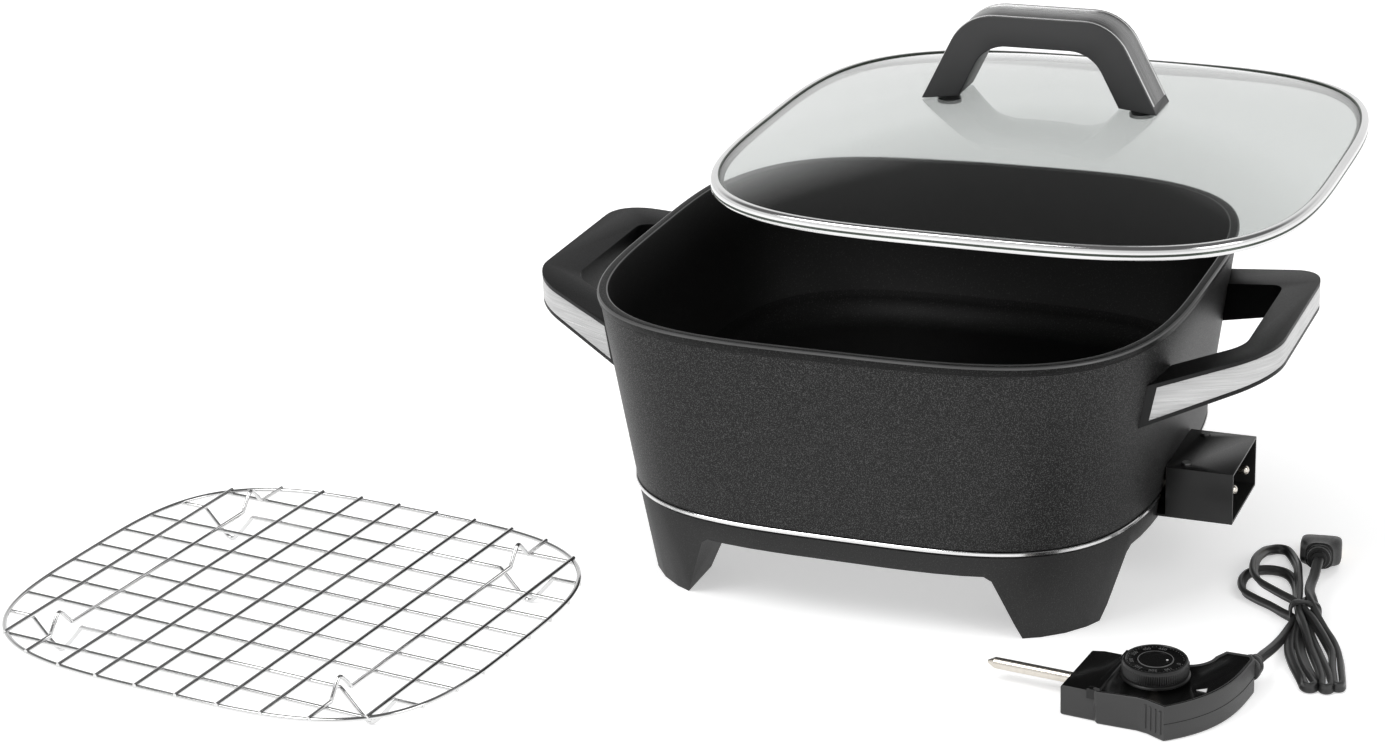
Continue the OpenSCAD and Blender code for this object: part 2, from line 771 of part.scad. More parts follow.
module lid_washers() {
    low = dome(lid_screw_x / glass_half) - lid_washer_t;
    color("#e4e4e0") translate(lid_at) difference() {
        lid_screw_places() translate([0, 0, low]) cylinder(r = lid_washer_r, h = lid_washer_t + 3.5);
        lid_screw_places() cylinder(r = lid_screw_r + 0.15, h = 60);
        loft(concat([for (k = [len(dome_steps) - 1 : -1 : 0]) dome_ring(dome_steps[k], -skin)],
                    [[glass_half, 60]]));
    }
}

// ---- Rack ----

module on_table_rack() {
    translate([rack_x, rack_y, 0]) rotate([0, 0, rack_turn]) children();
}

// Place of a wire as a share of the rack's half width
function wire_place(k) = 2 * k / wire_gaps - 1;

// Half length of a wire, from its place and the rack's half size along it
function wire_reach(place, half) = half * pow(1 - pow(abs(place), squareness), 1 / squareness) + wire_over;

// Straight wire, along a half size and at its place across the other one
module rack_wire(place, half, across, z) {
    reach = wire_reach(place, half);
    rod([-reach, place * across, z], [reach, place * across, z], wire_r);
}

// Share of its level that a bent wire has left to go, from 0 at the tip of its V to 1 at its ends
function v_shape(t) = (sqrt(t * t + 0.04) - 0.2) / (sqrt(1.04) - 0.2);

// Points of a V in a wire about a place x
function v_route(x, s, z, peak, half) = [
    for (t = [-1 : 0.25 : 1]) [x + t * half, s, peak + (z - peak) * v_shape(abs(t))]
];

// Wire that leaves its level by a V at two places
module bent_wire(place, half, across, z, peak, v_half) {
    reach = wire_reach(place, half);
    s = place * across;
    v = bend_place * half;
    swept_tube(concat([[-reach, s, z]], v_route(-v, s, z, peak, v_half), v_route(v, s, z, peak, v_half),
                      [[reach, s, z]]), wire_r, 8);
}

bent_wires = [wire_place(2), -wire_place(2)];
plain_wires = [for (k = [1 : wire_count]) if (k != 2 && k != wire_count - 1) wire_place(k)];

module rack_ring() {
    color("#d4d6d8") on_table_rack() translate([0, 0, ring_wire_z])
        loft([for (a = [0 : 60 : 300])
                  let (r = wire_r * cos(a))
                  [rack_half + r, wire_r * sin(a), squareness, (rack_half_y + r) / (rack_half + r)]],
             closed = true);
}

module rack_long_wires() {
    color("#d4d6d8") on_table_rack()
        for (p = plain_wires) rack_wire(p, rack_half, rack_half_y, long_z);
}

module rack_cross_wires() {
    color("#d4d6d8") on_table_rack() rotate([0, 0, 90])
        for (p = plain_wires) rack_wire(p, rack_half_y, rack_half, cross_z);
}

module rack_foot_wires() {
    color("#d4d6d8") on_table_rack()
        for (p = bent_wires) bent_wire(p, rack_half, rack_half_y, long_z, wire_r, dip_half);
}

module rack_riser_wires() {
    color("#d4d6d8") on_table_rack() rotate([0, 0, 90])
        for (p = bent_wires) bent_wire(p, rack_half_y, rack_half, cross_z, cross_z + hump_h, hump_half);
}

// ---- Control ----

module on_table_control() {
    translate([control_x, control_y, 0]) rotate([0, 0, control_turn]) children();
}

// Outline of the control seen from above: its front side flares to a corner, from where the other
// side bends round to the tail
function control_outline() = concat(
    [[nose_x, -nose_w / 2], [nose_end, -nose_w / 2], [nose_end + 2, -body_w / 2],
     [body_corner[0] - 15, -body_w / 2 + 1], [body_corner[0] - 10, -body_w / 2 + 0.2]],
    [for (t = [0 : 0.1 : 1]) [body_corner[0] + (body_back_x - body_corner[0]) * (1 - pow(1 - t, 3)),
                              body_corner[1] + (tail_y - 3 - body_corner[1]) * t]],
    [[body_back_x - 2.5, tail_y], [tail_x0 + 3, tail_y]],
    arc([tail_x0 - 13, tail_y - 7], 13, 0, -90, 8),
    [[nose_x + 6, nose_w / 2], [nose_x, nose_w / 2 - 2]]
);

module control_hollow() {
    inner = body_w / 2 - shell - 1.3;
    height = control_h - 2 * shell;
    back = tail_y - 20 - shell - 0.5;
    side = body_back_x - 2 * shell - 0.8;
    translate([nose_x + shell, -nose_w / 2 + shell, shell]) cube([18, nose_w - 2 * shell - 1, height]);
    translate([nose_x + 15, -inner, shell]) cube([41, inner + back, height]);
    translate([nose_x + 45, 5, shell]) cube([side - nose_x - 45, back - 5, height]);
    translate([tail_x0 + shell, 6, shell]) cube([side - tail_x0 - shell, tail_y - shell - 6, height]);
}

module nose_holes() {
    for (y = [-pin_gap / 2, pin_gap / 2]) translate([0, y, probe_z]) rotate([0, 90, 0])
        cylinder(r = sleeve_out_r + skin, h = nose_x + shell + 1);
    translate([0, 0, probe_z]) rotate([0, 90, 0]) cylinder(r = probe_r + skin, h = nose_x + shell + 1);
    translate([grommet_at[0], grommet_at[1] - shell - 1, probe_z]) rotate([-90, 0, 0])
        cylinder(r = grommet_r + skin, h = 6);
}

control_posts = [[27, -16], [43, 11.5], [57, -12]];

module control_bottom() {
    color("#151617") on_table_control() {
        difference() {
            linear_extrude(seam_z - seam_gap / 2) polygon(control_outline());
            control_hollow();
            nose_holes();
            for (p = control_posts) translate([p[0], p[1], -1]) cylinder(r = 1.5, h = 6);
        }
        for (p = control_posts) translate([p[0], p[1], 0]) difference() {
            translate([0, 0, 1]) cylinder(r = 3, h = seam_z - 1.2);
            translate([0, 0, -2]) cylinder(r = 1.5, h = 20);
        }
    }
}

module control_top() {
    ridge = [3, nose_w - 1, 2.2];
    color("#1a1b1d") on_table_control() {
        difference() {
            union() {
                translate([0, 0, seam_z + seam_gap / 2]) linear_extrude(control_h - seam_z - seam_gap / 2)
                    polygon(control_outline());
                translate([nose_end - ridge[0] + 1, -ridge[1] / 2, control_h - 1]) cube(ridge);
                translate([dial_at[0], dial_at[1], control_h - 0.5]) cylinder(r = dial_r + 0.6, h = 1.6);
            }
            control_hollow();
            nose_holes();
            translate([dial_at[0], dial_at[1], 0]) cylinder(r = shaft_r + shaft_run, h = 40);
        }
        for (p = control_posts) translate([p[0], p[1], 0]) difference() {
            translate([0, 0, seam_z + seam_gap / 2]) cylinder(r = 3, h = control_h - seam_z - 1);
            cylinder(r = 1.3, h = control_h - 3);
        }
    }
}

module control_screws() {
    color("#8d9094") on_table_control() for (p = control_posts) translate([p[0], p[1], 0.4]) {
        cylinder(r = 1.25, h = control_h - 5);
    }
}

module probe_sheath() {
    color("#c9cac6") on_table_control() translate([sheath_x, 0, probe_z]) rotate([0, -90, 0])
        rotate_extrude() polygon([
            [0, sheath_len], [0.8, sheath_len - 0.4], [probe_r, sheath_len - probe_tip], [probe_r, 0],
            [probe_r - 1, 0], [probe_r - 1, sheath_bore], [0, sheath_bore]
        ]);
}

module probe_rod() {
    out = 3;
    color("#e8e4d8") on_table_control() translate([sheath_x + out, 0, probe_z]) rotate([0, -90, 0])
        cylinder(r = probe_r - 1.3, h = sheath_bore + out - skin);
}

module contact_sleeves() {
    color("#c29a4b") on_table_control() for (y = [-pin_gap / 2, pin_gap / 2])
        translate([nose_x + 0.5, y, probe_z]) rotate([0, 90, 0]) difference() {
            cylinder(r = sleeve_out_r, h = sleeve_len);
            translate([0, 0, -1]) cylinder(r = sleeve_bore_r, h = sleeve_len);
        }
}

module contact_block() {
    color("#7a4a2c") on_table_control() difference() {
        translate([nose_x + 19, -12, shell + skin]) cube([10, 24, seam_z - shell + 1]);
        translate([nose_x + 18, 0, probe_z]) rotate([0, 90, 0]) cylinder(r = probe_r + skin, h = 20);
    }
}

module contact_blades() {
    block_top = seam_z + 1 + skin;
    color("#b98a3e") on_table_control() for (k = [0, 1])
        translate([nose_x + 24, -6.5 + 7 * k, block_top + 0.1]) cube([26, 5, 0.4]);
}

module adjusting_shaft() {
    color("#b9bbbd") on_table_control() translate([dial_at[0], dial_at[1], seam_z + 1.8])
        cylinder(r = shaft_r, h = dial_z + 5 - seam_z - 1.8);
}

// Knurled dial seen from above: a wave on a circle
function knurl(r, depth, teeth) = [
    for (i = [0 : 2 * teeth - 1])
        let (a = 180 * i / teeth, q = r - (i % 2) * depth) [q * cos(a), q * sin(a)]
];

module dial() {
    rim = 2.2;
    cap_r = 7.5;
    color("#202124") on_table_control() translate([dial_at[0], dial_at[1], dial_z]) difference() {
        union() {
            cylinder(r = dial_r, h = 2.4);
            translate([0, 0, 2.2]) linear_extrude(dial_h - 3) polygon(knurl(dial_r - 0.3, 0.6, 60));
            translate([0, 0, dial_h - 1]) cylinder(r = dial_r - 1, h = 1);
        }
        translate([0, 0, dial_h - 0.8]) cylinder(r = dial_r - rim, h = 2);
        translate([0, 0, dial_h - 3]) cylinder(r = cap_r, h = 5);
        translate([0, 0, -1]) cylinder(r = shaft_r + eps, h = 6.2);
    }
}

module dial_cap() {
    color("#2a1512") on_table_control() translate([dial_at[0], dial_at[1], dial_z + dial_h - 3 + skin])
        cylinder(r = 7.5 - skin, h = 2);
}

// ---- Cord and plug ----

module cord_grommet() {
    lip = shell + 0.2;
    color("#141516") on_table_control() translate([grommet_at[0], grommet_at[1] - shell, probe_z])
        rotate([-90, 0, 0]) rotate_extrude()
            polygon([[0, 0], [grommet_r, 0], [grommet_r, lip], [5.2, lip], [5.2, lip + 2.2], [4.4, lip + 2.6],
                     [4.4, lip + 3.8], [5, lip + 4.1], [5, lip + 6], [4, lip + 6.4],
                     [3.6, grommet_len], [0, grommet_len]]);
}

module cord_lead() { color("#1a1b1c") swept_tube(smooth(lead_route), cord_r); }
module cord_tail() { color("#1a1b1c") swept_tube(smooth(tail_route), cord_r); }

// Direction square to the line that touches two circles [x, y, radius] on its right
function touch_angle(a, b) = let (d = b - a)
    atan2(d[1], d[0]) - acos((a[2] - b[2]) / norm([d[0], d[1]]));

// Loops of the tied cord as one block: the outline round three circles, in turn to the left
module hank(circles) {
    linear_extrude(hank_h) polygon([
        for (k = [0 : 2])
            let (from = touch_angle(circles[(k + 2) % 3], circles[k]),
                 to = touch_angle(circles[k], circles[(k + 1) % 3]))
            each arc(circles[k], circles[k][2], from, to < from ? to + 360 : to, 6)
    ]);
}

module cord_hank_upper() { color("#1a1b1c") hank(upper_hank); }
module cord_hank_lower() { color("#1a1b1c") hank(lower_hank); }

module cord_tie() {
    color("#101112") translate([tie_at[0], tie_at[1], hank_h / 2]) rotate([90, 0, 0])
        translate([0, 0, -tie_size[1] / 2]) linear_extrude(tie_size[1])
            polygon([for (p = round_square(1, 0.5)) [p[0] * tie_size[0] / 2, p[1] * hank_h / 2]]);
}

// The plug leans on its front edge and on the tips of its blades
module on_table_plug() {
    lift = plug_len * sin(plug_tilt) + plug_h / 2 * cos(plug_tilt);
    translate([plug_at[0], plug_at[1], lift]) rotate([0, 0, plug_turn]) rotate([-plug_tilt, 0, 0]) children();
}

module plug_body() {
    neck = 9;
    color("#17181a") on_table_plug() {
        translate([0, neck, 0]) rotate([-90, 0, 0]) translate([0, 0, 0]) linear_extrude(plug_len - neck)
            polygon([for (p = round_square(1, 0.35)) [p[0] * plug_w / 2, p[1] * plug_h / 2]]);
        rotate([-90, 0, 0]) cylinder(r = cord_r + 1.6, h = neck + 0.5);
        translate([0, 3, 0]) rotate([-90, 0, 0]) cylinder(r = cord_r + 3, h = 2);
        translate([0, 6.4, 0]) rotate([-90, 0, 0]) cylinder(r = cord_r + 3.8, h = 3);
    }
}

module plug_blades() {
    color("#c8b06a") on_table_plug() for (s = [-1, 1])
        translate([s * blade_gap / 2 - 0.75, plug_len + skin, -3.2]) cube([1.5, 16, 6.4]);
}

pan();
probe_boss();
trim_ring();
base_skirt();
base_screws();
heat_shield();
shield_screws();
heating_element();
element_clips();
terminal_pins();
terminal_insulator();
socket_housing();
socket_rivets();
socket_screws();
handle_left();
handle_right();
handle_band_left();
handle_band_right();
handle_screws();
lid_glass();
lid_rim_band();
lid_handle();
lid_handle_inlay();
lid_screws();
lid_washers();
rack_ring();
rack_long_wires();
rack_cross_wires();
rack_foot_wires();
rack_riser_wires();
control_top();
control_bottom();
control_screws();
probe_sheath();
probe_rod();
contact_sleeves();
contact_block();
contact_blades();
dial();
dial_cap();
adjusting_shaft();
cord_grommet();
cord_lead();
cord_hank_upper();
cord_hank_lower();
cord_tie();
cord_tail();
plug_body();
plug_blades();
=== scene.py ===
import json
import math

import bmesh
import bpy
from mathutils import Matrix, Vector

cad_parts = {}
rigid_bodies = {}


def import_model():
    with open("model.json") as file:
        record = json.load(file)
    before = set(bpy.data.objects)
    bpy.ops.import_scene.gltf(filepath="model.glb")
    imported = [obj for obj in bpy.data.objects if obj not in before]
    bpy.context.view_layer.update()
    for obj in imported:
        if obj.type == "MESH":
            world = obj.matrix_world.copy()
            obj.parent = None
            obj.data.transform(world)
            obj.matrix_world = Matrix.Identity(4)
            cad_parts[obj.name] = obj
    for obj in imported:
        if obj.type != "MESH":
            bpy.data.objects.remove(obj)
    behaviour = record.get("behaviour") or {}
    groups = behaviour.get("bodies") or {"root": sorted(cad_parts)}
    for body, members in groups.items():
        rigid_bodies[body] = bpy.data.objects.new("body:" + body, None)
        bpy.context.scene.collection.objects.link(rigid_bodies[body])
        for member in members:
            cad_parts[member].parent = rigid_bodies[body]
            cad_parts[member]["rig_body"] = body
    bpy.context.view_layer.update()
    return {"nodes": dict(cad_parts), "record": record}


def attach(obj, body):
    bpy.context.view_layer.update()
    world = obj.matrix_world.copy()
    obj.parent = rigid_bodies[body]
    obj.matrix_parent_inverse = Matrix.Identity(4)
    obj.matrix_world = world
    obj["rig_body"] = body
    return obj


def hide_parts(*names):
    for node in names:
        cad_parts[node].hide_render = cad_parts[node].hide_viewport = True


# Sizes are in millimetres here, and become metres when a piece is finished.
MM = 0.001
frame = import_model()
nodes = frame["nodes"]
slot_of = {part["node"]: part["material_slot"] for part in frame["record"]["subparts"]}

# ---- Camera ----

camera = bpy.data.objects.new("camera", bpy.data.cameras.new("camera"))
bpy.context.collection.objects.link(camera)
camera.data.lens = 81.85
camera.data.sensor_width = 36
camera.data.clip_end = 50
camera.matrix_world = Matrix.Translation((0.4887, -1.4430, 0.6967)) @ Matrix((
    (0.9242, -0.1068, 0.3668),
    (0.3799, 0.3578, -0.8530),
    (-0.0401, 0.9277, 0.3712))).to_4x4()
bpy.context.scene.camera = camera
bpy.context.scene.view_settings.view_transform = "Standard"

# ---- Sizes shared by the pieces ----

def rotation(degrees, axis):
    """Rotation about an axis."""
    return Matrix.Rotation(math.radians(degrees), 4, axis)


RIM_HALF, RIM_Z = 150, 151.6
FOOT_HALF, PAN_LOW_Z = 136, 50.2
SQUARE = 3.55
BEAD_OUT, BEAD_H = 0.7, 4.6
PAN_UNDER_Z, PAN_FLOOR_Z = 56, 60
LID_AT = (64, 0, 210.3)
RACK_AT = Matrix.Translation((-261, -215.5, 0)) @ rotation(-6.3, "Z")
CONTROL_AT = Matrix.Translation((124, -167, 0)) @ rotation(-6, "Z")
DIAL_AT = CONTROL_AT @ Matrix.Translation((44.5, -1, 19.6))
PLUG_AT = Matrix.Translation((210.6, -16, 13.67)) @ rotation(8, "Z") @ rotation(-13.2, "X")


def half_at(z):
    """Half width of the pan's outside at a height."""
    return FOOT_HALF + (RIM_HALF - BEAD_OUT - FOOT_HALF) * (z - PAN_LOW_Z) / (RIM_Z - PAN_LOW_Z)


# ---- Materials ----

# Values between which nearly all of a noise lies, and the part of it over which a fleck fades in
NOISE_LOW, NOISE_HIGH = 0.3, 0.7
FLECK_EDGE = 0.12
SMOOTHEST = 0.02
GRAIN_HEIGHT = 0.0004


def noise_of(tree, vector, scale, detail=2):
    """Noise over a vector."""
    noise = tree.nodes.new("ShaderNodeTexNoise")
    noise.inputs["Scale"].default_value = scale
    noise.inputs["Detail"].default_value = detail
    tree.links.new(vector, noise.inputs["Vector"])
    return noise.outputs["Fac"]


def mapped(tree, value, low, high, to_low=0.0, to_high=1.0):
    """A value carried from one range to another and kept inside it."""
    change = tree.nodes.new("ShaderNodeMapRange")
    for socket, number in (("From Min", low), ("From Max", high), ("To Min", to_low),
                           ("To Max", to_high)):
        change.inputs[socket].default_value = number
    tree.links.new(value, change.inputs["Value"])
    return change.outputs["Result"]


def finish_of(name, dark, light, rough, grain=1500, depth=0.05, drawn=(1, 1, 1), metal=0.0,
              coat=0.0, patch=18, fleck=None, spread=0.12, shine=0.5):
    """Plastic, paint or metal: two near tones in soft patches, a fine grain that also varies the
    gloss, and for paint a fleck, given by its scale, the noise value where it starts and its tone.
    drawn stretches the grain, as on brushed steel."""
    made = bpy.data.materials.new(name)
    made.use_nodes = True
    tree = made.node_tree
    shader = tree.nodes["Principled BSDF"]
    place = tree.nodes.new("ShaderNodeTexCoord").outputs["Object"]
    stretch = tree.nodes.new("ShaderNodeMapping")
    stretch.inputs["Scale"].default_value = drawn
    tree.links.new(place, stretch.inputs["Vector"])
    fine = noise_of(tree, stretch.outputs["Vector"], grain, 3)
    soft = noise_of(tree, stretch.outputs["Vector"], patch, 4)
    tones = tree.nodes.new("ShaderNodeValToRGB")
    for stop, spot, tone in zip(tones.color_ramp.elements, (NOISE_LOW, NOISE_HIGH), (dark, light)):
        stop.position = spot
        stop.color = (*tone, 1)
    tree.links.new(soft, tones.inputs["Fac"])
    colour = tones.outputs["Color"]
    if fleck:
        fleck_scale, starts_at, fleck_tone = fleck
        share = mapped(tree, noise_of(tree, place, fleck_scale, 1), starts_at,
                       starts_at + FLECK_EDGE)
        mix = tree.nodes.new("ShaderNodeMix")
        mix.data_type = "RGBA"
        tree.links.new(share, mix.inputs["Factor"])
        tree.links.new(colour, mix.inputs[6])
        mix.inputs[7].default_value = (*fleck_tone, 1)
        colour = mix.outputs[2]
    tree.links.new(colour, shader.inputs["Base Color"])
    gloss = mapped(tree, fine, NOISE_LOW, NOISE_HIGH, max(SMOOTHEST, rough * (1 - spread)),
                   rough * (1 + spread))
    tree.links.new(gloss, shader.inputs["Roughness"])
    bump = tree.nodes.new("ShaderNodeBump")
    bump.inputs["Strength"].default_value = depth
    bump.inputs["Distance"].default_value = GRAIN_HEIGHT
    tree.links.new(fine, bump.inputs["Height"])
    tree.links.new(bump.outputs["Normal"], shader.inputs["Normal"])
    shader.inputs["Metallic"].default_value = metal
    shader.inputs["Coat Weight"].default_value = coat
    shader.inputs["Specular IOR Level"].default_value = shine
    return made


def grey(value, tint=0.0):
    """A grey by its sRGB value, a little blue where tint is above 0."""
    tone = (value / 255) ** 2.2
    return tone, tone * (1 + tint * 0.3), tone * (1 + tint)


def clear_glass():
    """Slightly grey glass with a polish that wavers a little."""
    made = bpy.data.materials.new("clear_glass")
    made.use_nodes = True
    tree = made.node_tree
    shader = tree.nodes["Principled BSDF"]
    shader.inputs["Base Color"].default_value = (0.5, 0.52, 0.51, 1)
    shader.inputs["Transmission Weight"].default_value = 1
    shader.inputs["IOR"].default_value = 1.55
    place = tree.nodes.new("ShaderNodeTexCoord").outputs["Object"]
    gloss = mapped(tree, noise_of(tree, place, 14), 0.0, 1.0, 0.0, 0.03)
    tree.links.new(gloss, shader.inputs["Roughness"])
    return made


cast_outside = finish_of("cast_outside", grey(12), grey(17), 0.46, 2600, 0.22,
                         fleck=(2000, 0.52, grey(76)), shine=0.26)
cast_rim = finish_of("cast_rim", grey(12), grey(16), 0.46, 2600, 0.14,
                     fleck=(2000, 0.56, grey(60)), shine=0.14)
cast_floor = finish_of("cast_floor", grey(9), grey(12), 0.56, 1800, 0.06,
                       fleck=(1500, 0.6, grey(44)), shine=0.2)
# Lighter grey for the rounded edges of the rim: a painted highlight
cast_edge_painted_highlight = finish_of("cast_edge_painted_highlight", grey(78), grey(96), 0.34, 2600, 0.08, metal=0.4)
cast_inside = finish_of("cast_inside", grey(11), grey(15), 0.46, 1800, 0.06,
                        fleck=(1500, 0.62, grey(46)), shine=0.26)
black_base = finish_of("black_base", grey(20), grey(26), 0.52, 2000, 0.24,
                       fleck=(2300, 0.6, grey(58)), shine=0.4)
handle_black = finish_of("handle_black", grey(14, 0.10), grey(19, 0.10), 0.48, 1800, 0.16,
                         shine=0.3)
bright_steel = finish_of("bright_steel", grey(212), grey(222), 0.16, 900, 0.02, (1, 1, 6),
                         metal=1.0)
brushed_steel = finish_of("brushed_steel", grey(168), grey(194), 0.34, 60, 0.14, (1, 1, 40),
                          metal=1.0, patch=40, spread=0.3)
brushed_dark = finish_of("brushed_dark", grey(112), grey(134), 0.32, 60, 0.2, (1, 40, 1), metal=1.0,
                         patch=30, spread=0.3)
lid_steel = finish_of("lid_steel", grey(206), grey(218), 0.12, 700, 0.01, metal=1.0)
# Dark green-grey for the inside and groove of the steel band: painted shade, tinted the green of
# the glass edge
band_inside_painted_shade = finish_of("band_inside_painted_shade", (0.05, 0.062, 0.05), (0.08, 0.095, 0.08), 0.3, 900, 0.03,
                        metal=0.6)
lid_grey = finish_of("lid_grey", grey(48, 0.03), grey(54, 0.03), 0.40, 1500, 0.08)
socket_satin = finish_of("socket_satin", grey(28), grey(34), 0.38, 1200, 0.06, shine=0.4)
zinc = finish_of("zinc", grey(150), grey(168), 0.32, 700, 0.06, metal=1.0)
heater_sheath = finish_of("heater_sheath", grey(104), grey(122), 0.42, 500, 0.12, metal=1.0)
mica_board = finish_of("mica_board", (0.52, 0.46, 0.34), (0.6, 0.54, 0.42), 0.6, 400, 0.1)
chrome = finish_of("chrome", grey(202), grey(210), 0.1, 500, 0.01, metal=1.0)
control_side = finish_of("control_side", grey(56), grey(66), 0.44, 1500, 0.2, shine=0.4)
control_gloss = finish_of("control_gloss", grey(16), grey(20), 0.16, 1200, 0.02, shine=0.4)
probe_steel = finish_of("probe_steel", (0.62, 0.58, 0.52), (0.7, 0.66, 0.6), 0.24, 300, 0.05,
                        (20, 1, 1), metal=1.0)
brass = finish_of("brass", (0.62, 0.44, 0.16), (0.7, 0.5, 0.2), 0.3, 600, 0.05, metal=1.0)
block_brown = finish_of("block_brown", (0.16, 0.07, 0.03), (0.2, 0.09, 0.04), 0.5, 900, 0.1)
ceramic = finish_of("ceramic", (0.78, 0.75, 0.66), (0.84, 0.81, 0.72), 0.5, 800, 0.06)
cap_dark = finish_of("cap_dark", grey(20), grey(24), 0.18, 900, 0.02, coat=0.4)
dial_black = finish_of("dial_black", grey(24), grey(30), 0.34, 1500, 0.08, shine=0.4)
cord_black = finish_of("cord_black", grey(44), grey(54), 0.4, 900, 0.1)
plug_black = finish_of("plug_black", grey(24), grey(30), 0.46, 900, 0.1, shine=0.3)
silicone = finish_of("silicone", grey(30), grey(36), 0.4, 700, 0.05)
marking_white = finish_of("marking_white", grey(205), grey(215), 0.5, 900, 0.03)
marking_grey = finish_of("marking_grey", grey(84), grey(92), 0.5, 900, 0.03)
glass = clear_glass()

looks = {
    "cast_coating": cast_outside, "black_phenolic": black_base, "trim_steel": bright_steel,
    "brushed_band": brushed_steel, "dark_brushed": brushed_dark, "polished_rim": lid_steel,
    "lid_glass": glass, "handle_grey": lid_grey, "socket_black": socket_satin, "zinc_steel": zinc,
    "heater_sheath": heater_sheath, "insulator": mica_board, "rack_chrome": chrome,
    "control_black": control_side, "probe_steel": probe_steel, "contact_brass": brass,
    "block_brown": block_brown, "ceramic_rod": ceramic, "cap_dark": cap_dark,
    "cord_black": cord_black, "silicone": silicone,
}
for name, part in nodes.items():
    part.data.materials.clear()
    part.data.materials.append(looks[slot_of[name]])

# ---- Making a piece ----

def finished(bm, name, like, stands_for=None, materials=None, place=None, sharp=32, turn_out=True):
    """Ends a piece: puts it in place, turns its faces outward and gives it the finish, the slot
    and the body of the node that it is like, which it stands for unless told otherwise."""
    if place is not None:
        bmesh.ops.transform(bm, matrix=place, verts=bm.verts)
    bmesh.ops.scale(bm, vec=(MM, MM, MM), verts=bm.verts)
    if turn_out:
        bmesh.ops.recalc_face_normals(bm, faces=bm.faces)
    mesh = bpy.data.meshes.new(name)
    bm.to_mesh(mesh)
    bm.free()
    for look in materials or [looks[slot_of[like]]]:
        mesh.materials.append(look)
    mesh.shade_smooth()
    mesh.set_sharp_from_angle(angle=math.radians(sharp))
    made = bpy.data.objects.new(name, mesh)
    bpy.context.collection.objects.link(made)
    stood_for = [like] if stands_for is None else list(stands_for)
    if stood_for:
        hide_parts(*stood_for)
    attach(made, nodes[like]["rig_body"])
    return made


def add_shell(bm, extra, look=None):
    """Takes another closed shell into a piece."""
    if look is not None:
        for face in extra.faces:
            face.material_index = look
    mesh = bpy.data.meshes.new("shell")
    extra.to_mesh(mesh)
    extra.free()
    bm.from_mesh(mesh)
    bpy.data.meshes.remove(mesh)


def place_ring(verts, half, z, square):
    """Lays a ring of vertices on a rounded square, each at the angle that it has."""
    for v in verts:
        a = math.atan2(v.co.y, v.co.x)
        r = half / (abs(math.cos(a)) ** square + abs(math.sin(a)) ** square) ** (1 / square)
        v.co = (r * math.cos(a), r * math.sin(a), z)


def loft(profile, closed=False, segments=240, square=SQUARE):
    """Shell through rings of a profile: [half width, height] and, where they differ, the squareness
    and the material of the band that ends there. Its ends are capped unless it is closed on
    itself."""
    bm = bmesh.new()
    ring = bmesh.ops.create_circle(bm, segments=segments, radius=1)["verts"]
    first = edges = list(bm.edges)
    spots = [(*spot, *(square, 0)[len(spot) - 2:]) for spot in profile]
    place_ring(ring, *spots[0][:3])
    for half, z, shape, look in spots[1:]:
        grown = bmesh.ops.extrude_edge_only(bm, edges=edges)["geom"]
        ring = [g for g in grown if isinstance(g, bmesh.types.BMVert)]
        new = set(ring)
        edges = [g for g in grown if isinstance(g, bmesh.types.BMEdge) and set(g.verts) <= new]
        for face in (g for g in grown if isinstance(g, bmesh.types.BMFace)):
            face.material_index = look
        place_ring(ring, half, z, shape)
    if closed:
        bmesh.ops.bridge_loops(bm, edges=first + edges)
    else:
        for end, look in ((first, spots[0][3]), (edges, spots[-1][3])):
            for face in bmesh.ops.edgeloop_fill(bm, edges=end)["faces"]:
                face.material_index = look
    return bm


def fillet(cx, cy, r, a0, a1, steps):
    """Points of an arc in a profile or an outline."""
    turns = [math.radians(a0 + (a1 - a0) * k / steps) for k in range(steps + 1)]
    return [(cx + r * math.cos(a), cy + r * math.sin(a)) for a in turns]


# Vertices closer than WELD millimetres are one, and faces within FLAT degrees are one flat face
WELD, FLAT = 0.004, 0.6


def soften(node, name, width, segments=2, over=40, **ending):
    """A node's own shape with its sharp edges rounded off."""
    bm = bmesh.new()
    bm.from_mesh(nodes[node].data)
    bmesh.ops.scale(bm, vec=(1 / MM,) * 3, verts=bm.verts)
    bmesh.ops.remove_doubles(bm, verts=bm.verts, dist=WELD)
    bmesh.ops.dissolve_limit(bm, angle_limit=math.radians(FLAT), verts=bm.verts, edges=bm.edges)
    sharp = [e for e in bm.edges if e.is_manifold and e.calc_face_angle() > math.radians(over)]
    bmesh.ops.bevel(bm, geom=sharp, offset=width, offset_type="OFFSET", segments=segments,
                    profile=0.5, affect="EDGES", clamp_overlap=True, material=-1)
    return finished(bm, name, node, turn_out=False, **ending)


def frames_along(path):
    """Direction of a path at each of its points."""
    last = len(path) - 1
    return [(path[min(k + 1, last)] - path[max(k - 1, 0)]).normalized() for k in range(last + 1)]


def curved(route, steps):
    """Points on a smooth curve through a route's points, with whatever numbers each one carries."""
    last = len(route) - 1
    points = []
    for k in range(last):
        a, b, c, d = (Vector(route[min(max(k + n, 0), last)]) for n in (-1, 0, 1, 2))
        for step in range(steps):
            t = step / steps
            points.append(0.5 * (2 * b + (c - a) * t + (2 * a - 5 * b + 4 * c - d) * t * t
                                 + (3 * b - a - 3 * c + d) * t ** 3))
    return points + [Vector(route[last])]


